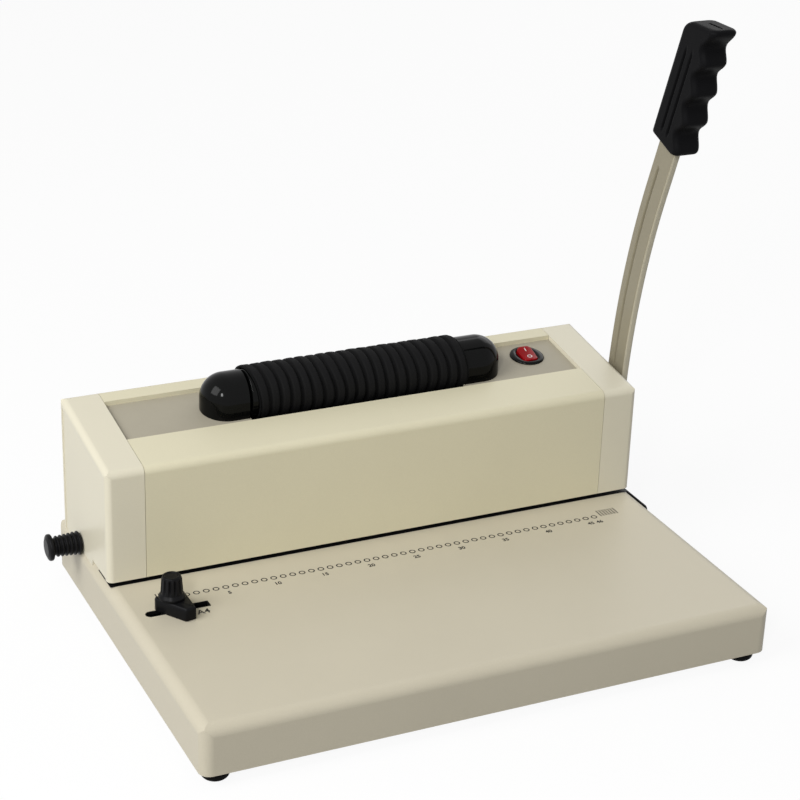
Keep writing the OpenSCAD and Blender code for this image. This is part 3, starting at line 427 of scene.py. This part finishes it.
def finger_grip():
    """The grip: a rounded rectangle carried along the lever's end. Its front is drawn in by four cosine
    waves for the fingers, two bell-shaped grooves run along its left face, and its last sections turn until
    the head is level. The head runs in to a narrow slot on its middle line. The ridges between the fingers
    are rubbed paler."""
    length, thickness, to_back, to_front = 87.45, 19.0, 13.0, 19.0
    fingers, finger_at, finger_pitch, finger_d, finger_power = 4, 14.5, 21.75, 5.1, 0.85
    foot_r, head_r, edge_r = 3.5, 8.0, 3.0
    foot_side, foot_front, foot_back = 1.0, 3.4, 1.4
    front_r, back_r, level_from = 4.2, 4.0, 48.0
    groove_at, groove_w, groove_d = (1.9, -4.9), 0.75, 1.5
    groove_from, groove_full, groove_fades, groove_to = 6.5, 9.5, 62.0, 72.0
    start, _ = lever_path(GRIP_AT)
    tilt = math.tan(LEAN_END)
    up = np.concatenate([foot_r * (1 - np.cos(np.linspace(0, QUARTER, 9))),
                         np.linspace(foot_r, length - head_r, 120)[1:],
                         length - head_r + head_r * np.sin(np.linspace(0, QUARTER, 15))[1:]])
    rest = length - up
    level = smooth(up, level_from, length)
    fore = up + to_front * tilt * level
    held = (fore > finger_at - finger_pitch / 2) & (fore < finger_at + (fingers - 0.5) * finger_pitch)
    wave = (0.5 + 0.5 * np.cos(TAU * (fore - finger_at) / finger_pitch)) * held
    front = finger_d * wave ** finger_power - to_front + rounding(up, foot_front) + rounding(rest, edge_r)
    back = to_back - rounding(up, foot_back) - rounding(rest, head_r)
    half = thickness / 2 - rounding(up, foot_side) - rounding(rest, edge_r)

    # Half a section from front to back: its share of the way, a shift along it and how far it is drawn in
    a = np.linspace(0, QUARTER, 8)
    u = np.linspace(0, 1, 100)[1:-1]
    fore_arc = np.stack([0 * a, front_r - front_r * np.sin(a), front_r - front_r * np.cos(a)], -1)[::-1]
    side = np.stack([u, front_r - (front_r + back_r) * u, 0 * u], -1)
    rear_arc = np.stack([1 + 0 * a, back_r * np.sin(a) - back_r, back_r - back_r * np.cos(a)], -1)
    left = np.concatenate([fore_arc, side, rear_arc])
    share, shift, draw = np.concatenate([left, left[::-1]]).T
    sign = np.repeat([-1.0, 1.0], len(left))

    flat_draw, ridge_share, ridge_wear = 0.01, 0.02, 0.6
    along = front[:, None] * (1 - share) + back[:, None] * share + shift
    reach = smooth(up, groove_from, groove_full) * (1 - smooth(up, groove_fades, groove_to))
    grooves = sum(bell(along, at, groove_w) for at in groove_at) * reach[:, None]
    thick = sign * (half[:, None] - draw) + groove_d * grooves * ((sign < 0) & (draw < flat_draw))
    high = up[:, None] - along * tilt * level[:, None]

    # The head: rows that narrow to the middle line, the last ones sunk for the slot
    narrow = np.array([0.8, 0.55, 0.3, 0.14, 0.11, 0.0])[:, None]
    head_draw, slot_share, slot_d, slot_front, slot_back = 0.12, 0.12, 1.6, (-14.5, -13.5), (-1.0, 0.0)
    head_along = along[-1] * (1 - head_draw * (1 - narrow))
    in_slot = smooth(head_along, *slot_front) * (1 - smooth(head_along, *slot_back)) * (narrow < slot_share)
    along = np.concatenate([along, head_along])
    thick = np.concatenate([thick, narrow * thick[-1]])
    high = np.concatenate([high, length - head_along * tilt - slot_d * in_slot])

    axis = np.array([0, -math.sin(LEAN_END), math.cos(LEAN_END)])
    normal = np.array([0, math.cos(LEAN_END), math.sin(LEAN_END)])
    skin = start + high[..., None] * axis + along[..., None] * normal + (thick + BAR_MIDDLE)[..., None] * X
    skin = np.concatenate([*run_in(skin, ends=(0,)), skin])
    ridge = np.concatenate([[0], 1 - wave, np.zeros(len(narrow))])[:, None] * (share < ridge_share)
    made = piece("finger_grip", *merged(skin), "lever", "black_plastic", GRIP_BLACK, crease=50,
                 wear_and_highlight_share=ridge_wear * ridge)
    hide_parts("lever_grip")


lever_bar()
finger_grip()


# Roller

SLEEVE = node_box("roller_sleeve")
SLEEVE_HALF, SLEEVE_R = SLEEVE.high[0], ROLLER_Z - SLEEVE.low[2]
AXLE_R = ROLLER_Z - node_box("roller_axle").low[2]


def ribbed_sleeve():
    """The sleeve: its radius is drawn in by a narrow cosine wave once for each rib. The sleeve leans by the
    cosine and sine of the angle round the axle and wavers a little by sums of sines, as pulled-on rubber
    does, so that its right end overhangs the bearing cover with a lip and its left end leaves the core bare.
    The ribs are rubbed paler."""
    ribs, per_rib, around = 20, 22, 160
    groove_d, groove_power, end_r, slack = 1.9, 5, 1.2, 0.3
    lip_r, plug_half = 17.0, 62.0
    lean_fore, lean_up, shift = -2.6, -1.2, 1.4
    wavers = ((0.35, 2, 0.11), (0.25, 3, -0.07))
    swells = ((0.14, 0, 0.31, 0.0), (0.10, 2, 0.0, 0.4), (0.07, 5, 0.9, 0.0))
    swell_share, worn_until = 0.8, 0.25
    t = np.arange(around) * TAU / around
    x = np.linspace(-SLEEVE_HALF, SLEEVE_HALF, ribs * per_rib + 1)[:, None]
    rest = SLEEVE_HALF - np.abs(x)
    waver = sum(size * np.sin(turns * t + drift * x) for size, turns, drift in wavers)
    swell = sum(size * np.sin(turns * t + drift * x + phase) for size, turns, drift, phase in swells)
    groove = (0.5 + 0.5 * np.cos(TAU * (x + waver) * ribs / (2 * SLEEVE_HALF))) ** groove_power
    r = SLEEVE_R - slack + swell_share * swell - rounding(rest, end_r)
    r = np.minimum(r - groove_d * groove * smooth(rest, 0.2 * end_r, end_r), SLEEVE_R)
    lean = lean_fore * np.cos(t) + lean_up * np.sin(t) + shift

    def round_axle(along, radius):
        """Points at a distance along the axle and at a radius round it."""
        return np.stack([along + 0 * t, ROLLER_Y + radius * np.cos(t), ROLLER_Z + radius * np.sin(t)], -1)

    before = [round_axle(-plug_half, lip_r), round_axle(lean - SLEEVE_HALF, lip_r)]
    after = [round_axle(lean + SLEEVE_HALF, lip_r), round_axle(plug_half, lip_r),
             round_axle(plug_half, AXLE_R), round_axle(-plug_half, AXLE_R), round_axle(-plug_half, lip_r)]
    grid = np.concatenate([before, round_axle(x + lean, r), after])
    wear_and_highlight_share = np.concatenate([np.zeros((len(before), around)), 1 - smooth(groove, 0.0, worn_until),
                          np.zeros((len(after), around))])
    made = piece("ribbed_sleeve", *merged(grid), "roller", "black_rubber", RUBBER, crease=50, wear_and_highlight_share=wear_and_highlight_share)
    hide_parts("roller_sleeve")


def roller_core():
    """The core that shows at the sleeve's ends: a turned ring with rounded edges just inside each of them,
    the right one the mirror of the left one."""
    core_r, length, sharp, outer_edge, inner_edge = 16.2, 11.0, 0.1, 0.8, 0.3
    end, inner = -SLEEVE_HALF, length - SLEEVE_HALF
    profile, _ = fillet([(end, AXLE_R, sharp), (end, core_r, outer_edge), (inner, core_r, inner_edge),
                         (inner, AXLE_R, sharp)], 6)
    ring = lathe(closed(profile), (0, ROLLER_Y, ROLLER_Z), around=128)
    piece("roller_core_ring", *merged(ring, ring * (-1, 1, 1)), "roller", "gloss_black", GLOSS)


roller_core()
ribbed_sleeve()


# Margin knob and side guide

def stepped_knob():
    """The margin knob: a turned profile of six rounded rings that grow towards the cap, on a shank that
    reaches it, with a wider rounded flange at its outer end. The rings are rubbed paler."""
    box = node_box("margin_knob")
    collar, head, gap = 2.6, 4.6, 1.0
    rings, ring_r, core_r, growth = 6, 7.6, 6.5, 0.17
    flange_r, flange_from, flange_to, face_r = 8.6, 1.2, 3.4, 5.6
    ring_wear, around = 0.3, 96
    full = box.high[0] - box.low[0] + collar
    shank = full - head
    pitch = (shank - gap) / rings
    steps = ((0.06, core_r, 0.2), (0.36, ring_r, 0.35), (0.64, ring_r, 0.35), (0.94, core_r, 0.2))
    corners = [(0.0, 0.0, 0.0), (0.0, core_r, 0.05)]
    corners += [((k + share) * pitch, r - growth * k, f) for k in range(rings) for share, r, f in steps]
    corners += [(shank, core_r - growth * rings, 0.3), (shank + flange_from, flange_r, 0.9),
                (shank + flange_to, flange_r, 1.3), (full, face_r, 1.6), (full, 0.0, 0.0)]
    profile, _ = fillet(corners, 5)
    wear_and_highlight_share = np.repeat(ring_wear * smooth(profile[:, 1], core_r, ring_r)[:, None], around, 1)
    profile[:, 0] = box.high[0] + collar - profile[:, 0]
    turned = lathe(profile, (0, *box.middle[1:]), around=around)
    made = piece("stepped_margin_knob", *merged(turned), "margin", "black_plastic", BLACK, wear_and_highlight_share=wear_and_highlight_share)
    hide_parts("margin_knob")


def fluted_clamp_knob():
    """The clamp knob: a turned profile that narrows from a wide collar at its foot to its top, and whose
    radius is drawn in by the cosine of twelve times the angle, for twelve flutes. The ridges between them
    are rubbed paler."""
    box = node_box("guide_clamp_knob")
    flutes, flute_d, flute_power, ridge_wear = 12, 0.14, 1.5, 0.7
    flute_from, flute_full, flute_fades, flute_to = 3.6, 5.0, 12.8, 13.8
    plain_r, fluted_r, ridge_r = 4.8, 5.6, 6.2
    profile, _ = fillet([(0, 0, 0), (0, 8.2, 0.4), (1.4, 8.2, 0.5), (3.4, 6.9, 1.0), (13.0, 6.2, 0.7),
                         (15.0, 5.4, 1.0), (15.0, 4.2, 0.2), (14.5, 3.9, 0.2), (14.5, 0, 0)], 6)
    spans = [np.linspace(p, q, 5)[:-1] for p, q in zip(profile[:-1], profile[1:])]
    grid = lathe(np.concatenate(spans + [profile[-1:]]), (0, 0, 0), "z", 192)
    wave = np.cos(flutes * np.arctan2(grid[..., 1], grid[..., 0]))
    height, radius = grid[..., 2], np.hypot(grid[..., 0], grid[..., 1])
    rise = smooth(height, flute_from, flute_full)
    flute = np.clip(wave, 0, 1) ** flute_power * rise * (1 - smooth(height, flute_fades, flute_to))
    wear_and_highlight_share = ridge_wear * np.clip(-wave, 0, 1) * rise * smooth(radius, fluted_r, ridge_r)
    grid[..., :2] *= (1 - flute_d * flute * smooth(radius, plain_r, fluted_r))[..., None]
    grid += (box.middle[0], box.middle[1], box.low[2])
    made = piece("fluted_clamp_knob", *merged(grid), "clamp", "black_plastic", BLACK, crease=45, wear_and_highlight_share=wear_and_highlight_share)
    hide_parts("guide_clamp_knob")


def wedge_stop():
    """The side guide's block: a wedge outline of rounded corners, bevelled and rounded over at its top."""
    box = node_box("guide_block")
    left, front, low = box.low
    right, back, high = box.high
    nose_w, nose_slope, heel = 7.0, 1.5, 3.5
    corners = [(right, back, 0.8), (left, back, 1.5), (left, back - heel, 1.8),
               (right - nose_w, front, 2.0), (right, front + nose_slope, 0.8)]
    rows = [(0.4, low), (0.1, low + 0.1), (0, low + 0.4), (0, high - 1.5), (0.12, high - 1.2),
            (0.5, high - 0.4), (0.8, high - 0.1), (1.2, high)]
    made = piece("wedge_paper_stop", *merged(prism(corners, rows, (0, 0, 0), X, Y, Z)), "side_guide",
                 "black_plastic", BLACK)
    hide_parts("guide_block")


def slot_liner():
    """Painted shade in the guide's slot: a thin black wall carried round the slot's outline, from under the
    sheet to just over it, with a narrow lip on the sheet, standing in for the shade inside the slot."""
    round_end, square_end, h = -174.0, -134.0, 3.0
    round_r, square_r = h - 0.01, 0.3
    sheet, below, proud, ease = 2.0, 0.1, 0.15, 0.1
    gap, wall, wall_top, lip, lip_top = 0.02, 0.3, 0.22, 0.35, 0.3
    low, high = BASE_TOP - sheet - below, BASE_TOP + proud
    corners = [(round_end, SLOT_Y - h, round_r), (square_end, SLOT_Y - h, square_r),
               (square_end, SLOT_Y + h, square_r), (round_end, SLOT_Y + h, round_r)]
    rows = [(gap, low), (gap, BASE_TOP), (-lip, BASE_TOP + gap), (-lip_top, high), (wall_top, high),
            (wall, high - ease), (wall, low), (gap, low)]
    liner = prism(corners, rows, (0, 0, 0), X, Y, Z, steps=12, capped=False)
    piece("guide_slot_shade_wall", *merged(liner), "machine", "black_plastic", BLACK)


def throat_liner():
    """Painted shade in the throat: a thin black sheet with rounded corners and edges on the base under the
    front cover, standing in for the shade there.
    """
    half, back, overhang, corner_r = 183.4, 58.0, 0.4, 0.4
    off_base, top, edge_r = 0.005, 0.12, 0.05
    front = node_box("front_cover").low[1] - overhang
    corners = [(x, y, corner_r) for x, y in ((-half, front), (half, front), (half, back), (-half, back))]
    rows = rounded_rows(BASE_TOP + off_base, BASE_TOP + top, edge_r)
    sheet = prism(corners, rows, (0, 0, 0), X, Y, Z)
    piece("throat_liner", *merged(sheet), "machine", "black_plastic", BLACK)


stepped_knob()
fluted_clamp_knob()
wedge_stop()
slot_liner()
throat_liner()


# Switch, on the sloping panel

def slope(angle):
    """The directions back and out of a face that slopes up to the back by an angle."""
    c, s = math.cos(angle), math.sin(angle)
    return np.array([0, c, s]), np.array([0, -s, c])


TOP_SLOPE = math.radians(7.6)
PANEL_BACK, PANEL_OUT = slope(TOP_SLOPE)
SWITCH_AT = np.array([134.0, 97.0, 122.1787])


def switch_ring():
    """The bezel: rings of points run from a rounded rectangular mouth out to a circle, up one side of a
    rounded rim and down the other, with the mouth's walls going down into the panel. Each row is the share
    of the way from the mouth to the circle, and a height."""
    mouth_u, mouth_v, mouth_r, rim_r, around = 5.9, 7.9, 3.6, 11.75, 160
    rows = ((0, -4.0), (0, 0.7), (0.06, 1.1), (0.2, 1.45), (0.5, 1.55), (0.8, 1.35), (0.95, 0.9), (1.0, 0.4),
            (1.0, 0.0), (0.0, -4.0))
    mouth = even(rounded_rectangle(mouth_u, mouth_v, mouth_r, 24), around)
    t = np.arctan2(mouth[:, 1], mouth[:, 0])
    rim = rim_r * np.stack([np.cos(t), np.sin(t)], -1)
    share, height = np.array(rows).T[..., None, None]
    flat = mouth[None] * (1 - share) + rim[None] * share
    grid = flat[..., :1] * X + flat[..., 1:] * PANEL_BACK + height * PANEL_OUT + SWITCH_AT
    made = piece("switch_ring", *merged(grid), "machine", "gloss_black", GLOSS, crease=50)
    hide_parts("switch_body")


def red_rocker():
    """The rocker: a plan of rounded corners whose top bends from the middle up to both ends and is crowned
    across by squares of the distance, tilted up at the back, with a white bar and ring on it. Each row is
    the share of the plan and a height from the top."""
    half_u, half_v, corner_r, top, sunk, skirt = 5.5, 7.5, 3.2, 4.3, 1.0, 1.0
    end_rise, side_fall, middle_drop, tilt_up = 0.55, 0.5, 0.35, math.radians(9)
    rows = ((0, -6.3), (1, -6.3), (1, -4.3), (1, -1.0), (0.985, -0.45), (0.95, -0.12), (0.9, 0), (0.75, 0),
            (0.6, 0), (0.45, 0), (0.3, 0), (0.15, 0), (0, 0))
    back, out = slope(TOP_SLOPE + tilt_up)
    middle = SWITCH_AT - sunk * PANEL_OUT

    def crown(u, v):
        """Height of the bent and crowned top over a point of the plan."""
        return end_rise * (v / half_v) ** 2 - middle_drop - side_fall * (u / half_u) ** 2

    def on_slope(u, v, height):
        """Points of the plan at a height over it."""
        return u[..., None] * X + v[..., None] * back + height[..., None] * out + middle

    share, height = np.array(rows).T[..., None]
    u, v = (axis * share for axis in rounded_rectangle(half_u, half_v, corner_r, 24).T)
    height = height + top
    made = piece("red_rocker", *merged(on_slope(u, v, height + crown(u, v) * (height > skirt))), "rocker",
                 "red_rocker", RED, crease=50)
    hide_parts("switch_rocker")

    proud, sunken = 0.06, -0.1
    inner_r, outer_r, flatter, ring_v, around = 1.25, 1.75, 0.9, -3.4, 40
    a = np.arange(around) * TAU / around
    r = np.array([inner_r, outer_r, outer_r, inner_r, inner_r])[:, None]
    height = np.array([proud, proud, sunken, sunken, proud])[:, None] + top
    u, v = r * np.cos(a), r * flatter * np.sin(a) + ring_v
    ring = on_slope(u, v, height + crown(u, v))
    bar_u, bar_v, bar_r, bar_middle = 0.28, 1.6, 0.2, 3.8
    spread = np.array([0, 1, 1, 0])[:, None]
    height = np.array([proud, proud, sunken, sunken])[:, None] + top
    u, v = (axis * spread for axis in rounded_rectangle(bar_u, bar_v, bar_r, 4).T)
    bar = on_slope(u, v + bar_middle, height + crown(u, v + bar_middle))
    piece("rocker_marks", *merged(ring, bar), "rocker", "red_rocker", WHITE)


switch_ring()
red_rocker()


# Press springs

def return_coils():
    """The springs that lift the press beam: a round wire carried along a helix of four turns round each
    guide post, narrowed to a round tip at both ends."""
    wire, stroke, turns, per_turn, around, tips = 1.6, 9.0, 4, 40, 14, 80
    low, high, middle = node_box("return_springs")
    outer, tall = (high[1] - low[1]) / 2, high[2] - low[2]
    share = np.linspace(0, 1, turns * per_turn + 1)[:, None]
    a = share * turns * TAU
    t = np.arange(around) * TAU / around
    near_tip = np.clip(np.abs(share - 0.5) * 2 * tips - (tips - 1), 0, 1)
    slim = wire / 2 * np.sqrt(1 - near_tip ** 2)
    r = outer - wire / 2 + slim * np.cos(t)
    z = low[2] + wire / 2 + share * (tall - wire) + slim * np.sin(t)
    coil = np.stack([r * np.cos(a), middle[1] + r * np.sin(a), z], -1)
    coils = [coil + x * X for x in (low[0] + outer, high[0] - outer)]
    made = piece("return_coils", *merged(*coils), "machine", "steel", STEEL, crease=60)
    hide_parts("return_springs")
    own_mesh(made)


return_coils()


# Chip tray and rear screws

def tray_pull():
    """The tray's front: a plate of rounded corners and edges, with a half-round ridge along it to pull by,
    whose rows follow a quarter of an ellipse."""
    low, high, middle = node_box("tray_front")
    thick, low_top, corner_r, edge_r = 1.6, 1.2, 3.0, 0.6
    ridge_w, ridge_h, ridge_r, ridge_up = 22.0, 1.6, 1.5, 2.0
    w, h = (high - low)[1:] / 2
    top = h - low_top
    corners = [(-w, -h, corner_r), (w, -h, corner_r), (w, top, corner_r), (-w, top, corner_r)]
    plate = prism(corners, rounded_rows(low[0], low[0] + thick, edge_r), (0, *middle[1:]), Y, Z, X)
    ridge = [(-ridge_w, -ridge_h, ridge_r), (ridge_w, -ridge_h, ridge_r), (ridge_w, ridge_h, ridge_r),
             (-ridge_w, ridge_h, ridge_r)]
    a = np.linspace(0, QUARTER, 7)
    foot = low[0] + ridge_r
    rows = np.stack([ridge_r - ridge_r * np.cos(a), foot + (high[0] - foot) * np.sin(a)], -1)
    pull = prism(ridge, rows, (0, middle[1], middle[2] + ridge_up), Y, Z, X)
    made = piece("tray_pull_plate", *merged(plate, pull), "tray", "black_plastic", BLACK)
    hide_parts("tray_front")


def rear_screw_heads():
    """Screws of the end caps: each a round head on a short shank, whose height falls with the square of the
    radius and is sunk along a cross."""
    low, high, _ = node_box("cover_screws")
    head_r, head_h, fall, rim_h, rim_edge = 3.0, 1.8, 0.55, 1.1, 0.02
    shank_r, shank_len = 1.4, 6.0
    cross_w, cross_reach, cross_d, cross_turn = 0.36, 1.6, 0.8, 0.3
    rows, around = 22, 72
    r = np.concatenate([np.linspace(0, head_r - rim_edge, rows), [head_r, head_r, shank_r, shank_r, 0.0]])
    t = np.arange(around) * TAU / around + cross_turn
    u, v = r[:, None] * np.cos(t), r[:, None] * np.sin(t)
    near, far = np.sort(np.abs([u, v]), axis=0)
    cross = (near < cross_w) & (far < cross_reach)
    h = head_h - fall * (r[:, None] / head_r) ** 2 - cross_d * cross
    h[rows:] = np.array([rim_h, 0.0, 0.0, -shank_len, -shank_len])[:, None]
    heads = [np.stack([x + u, high[1] - head_h + h, z + v], -1)
             for x in (low[0] + head_r, high[0] - head_r) for z in (low[2] + head_r, high[2] - head_r)]
    made = piece("rear_screw_heads", *merged(*heads), "machine", "steel", STEEL, crease=40)
    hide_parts("cover_screws")


tray_pull()
rear_screw_heads()


# Printed scale on the base

INK_T = 0.05
INK_LOW, INK_TOP = BASE_TOP - INK_T, BASE_TOP + INK_T
HOLES, PITCH = 46, 6.35
ROW_X = -(HOLES - 1) * PITCH / 2


def hole_rings():
    """Forty-six printed rings at the hole pitch: a square section carried round each circle."""
    inner_r, outer_r, row_y, around = 1.4, 2.15, 8.6, 28
    a = np.arange(around) * TAU / around
    r = np.array([inner_r, outer_r, outer_r, inner_r, inner_r])[:, None]
    z = np.array([INK_TOP, INK_TOP, INK_LOW, INK_LOW, INK_TOP])[:, None] + 0 * a
    ring = np.stack([r * np.cos(a), r * np.sin(a) + row_y, z], -1)
    rings = [ring + (ROW_X + k * PITCH) * X for k in range(HOLES)]
    piece("printed_hole_rings", *merged(*rings), "machine", "cream_paint", INK)


def comb_ticks():
    """Two combs of short printed lines past the ends of the row: a small rounded strip for each line."""
    half_w, half_l, corner_r, middle_y = 0.36, 4.0, 0.1, 11.9
    first, pitch, count = 148.3, 2.08, 7
    spread = np.array([0, 1, 1, 0])[:, None]
    u, v = (axis * spread for axis in rounded_rectangle(half_w, half_l, corner_r, 3).T)
    z = np.array([INK_TOP, INK_TOP, INK_LOW, INK_LOW])[:, None] + 0 * u
    strip = np.stack([u, v + middle_y, z], -1)
    strips = [strip + side * (first + pitch * k) * X for side in (-1, 1) for k in range(count)]
    piece("printed_combs", *merged(*strips), "machine", "cream_paint", INK)


def numerals(words, name):
    """Numbers printed on the base, from rows of (text, x, y, size): each is set as type, made a thin solid
    mesh and moved to its place."""
    swell, same_point = 0.14, 1e-7
    work = bmesh.new()
    for text, x, y, size in words:
        curve = bpy.data.curves.new(name + "_type", "FONT")
        curve.body, curve.size, curve.align_x, curve.align_y = text, size * MM, "CENTER", "CENTER"
        curve.extrude, curve.offset = INK_T * MM, swell * MM
        setting = bpy.data.objects.new(name + "_type", curve)
        bpy.context.scene.collection.objects.link(setting)
        bpy.context.view_layer.update()
        shaped = setting.evaluated_get(bpy.context.evaluated_depsgraph_get())
        letters = bpy.data.meshes.new_from_object(shaped)
        letters.transform(Matrix.Translation((x * MM, y * MM, BASE_TOP * MM)))
        work.from_mesh(letters)
        bpy.data.objects.remove(setting)
        bpy.data.curves.remove(curve)
        bpy.data.meshes.remove(letters)
    mesh = bpy.data.meshes.new(name)
    bmesh.ops.remove_doubles(work, verts=work.verts, dist=same_point)
    work.to_mesh(mesh)
    work.free()
    dressed(name, mesh, "machine", INK)


NUMBER_Y, NUMBER_SIZE, COUNTED_BY, LAST_SHIFT = 1.2, 4.6, 5, 0.2
PAPER_MARK = ("A4", -140.5, -15.0, 7.0)
COUNTS = [(str(k), ROW_X + (k - 1) * PITCH, NUMBER_Y, NUMBER_SIZE)
          for k in range(COUNTED_BY, HOLES, COUNTED_BY)]
LAST_COUNT = (str(HOLES), ROW_X + (HOLES - 1) * PITCH + LAST_SHIFT, NUMBER_Y, NUMBER_SIZE)

hole_rings()
comb_ticks()
numerals(COUNTS + [LAST_COUNT, PAPER_MARK], "printed_numbers")


# Studio, in metres

FLOOR_HALF, FLOOR_GLOW, FLOOR_BOUNCE, FLOOR_PALE = 6.0, 0.91, 0.3, 0.92
FLOOR_ROUGH, FLOOR_SHINE = 0.8, 0.2
SURROUND_LIGHT, SURROUND_WHITE = 0.34, 1.0
LAMP_AIM = Vector((0, 0.03, 0.1))
LAMPS = (("soft_lamp_left", (-1.6, -0.3, 1.4), (1.2, 1.2), 28.5),
         ("tall_lamp_front", (-1.15, -1.5, 1.25), (0.3, 0.45), 16.5),
         ("soft_lamp_rear", (1.5, 1.2, 1.2), (1.2, 1.2), 6.0))


def seen_directly(tree):
    """1 for a ray from the camera, a reflection or a transmission, else 0."""
    ray = shader_node(tree, "LightPath").outputs
    seen = maths(tree, "MAXIMUM", ray["Is Camera Ray"], ray["Is Glossy Ray"])
    return maths(tree, "MAXIMUM", seen, ray["Is Transmission Ray"])


def pale_floor():
    """A flat floor that glows nearly white where it is seen, keeps a share of its own shade for the shadow,
    and throws little light back on the object."""
    s = FLOOR_HALF
    mesh = bpy.data.meshes.new("studio_floor")
    mesh.from_pydata([(-s, -s, 0), (s, -s, 0), (s, s, 0), (-s, s, 0)], [], [(0, 1, 2, 3)])
    floor = bpy.data.objects.new("studio_floor", mesh)
    bpy.context.scene.collection.objects.link(floor)
    pale = bpy.data.materials.new("pale_floor")
    pale.use_nodes = True
    mesh.materials.append(pale)
    tree = pale.node_tree
    link = tree.links.new
    shader = tree.nodes["Principled BSDF"]
    shader.inputs["Roughness"].default_value = FLOOR_ROUGH
    shader.inputs["Specular IOR Level"].default_value = FLOOR_SHINE
    seen = seen_directly(tree)
    tone = shader_node(tree, "MapRange", To_Min=FLOOR_BOUNCE, To_Max=FLOOR_PALE)
    link(seen, tone.inputs["Value"])
    link(tone.outputs["Result"], shader.inputs["Base Color"])
    glow = shader_node(tree, "Emission", Strength=1.0)
    mix = shader_node(tree, "MixShader")
    link(maths(tree, "MULTIPLY", seen, FLOOR_GLOW), mix.inputs["Fac"])
    link(shader.outputs[0], mix.inputs[1])
    link(glow.outputs[0], mix.inputs[2])
    link(mix.outputs[0], tree.nodes["Material Output"].inputs["Surface"])


def even_surround():
    """A world that the camera and reflections see as white, and that lights the object evenly and weakly."""
    world = bpy.data.worlds.new("studio_surround")
    bpy.context.scene.world = world
    world.use_nodes = True
    tree = world.node_tree
    sky = tree.nodes["Background"]
    sky.inputs["Color"].default_value = (1, 1, 1, 1)
    level = shader_node(tree, "MapRange", To_Min=SURROUND_LIGHT, To_Max=SURROUND_WHITE)
    tree.links.new(seen_directly(tree), level.inputs["Value"])
    tree.links.new(level.outputs["Result"], sky.inputs["Strength"])


def lamps():
    """A large soft lamp from the left, a small tall one from the front left and a weak one from the rear
    right, all turned to the object."""
    for name, place, size, power in LAMPS:
        data = bpy.data.lights.new(name, "AREA")
        data.shape = "RECTANGLE"
        data.size, data.size_y = size
        data.energy = power
        lamp = bpy.data.objects.new(name, data)
        lamp.location = place
        lamp.rotation_euler = (LAMP_AIM - Vector(place)).to_track_quat("-Z", "Y").to_euler()
        bpy.context.scene.collection.objects.link(lamp)


pale_floor()
even_surround()
lamps()
bpy.context.scene.view_settings.view_transform = "Standard"
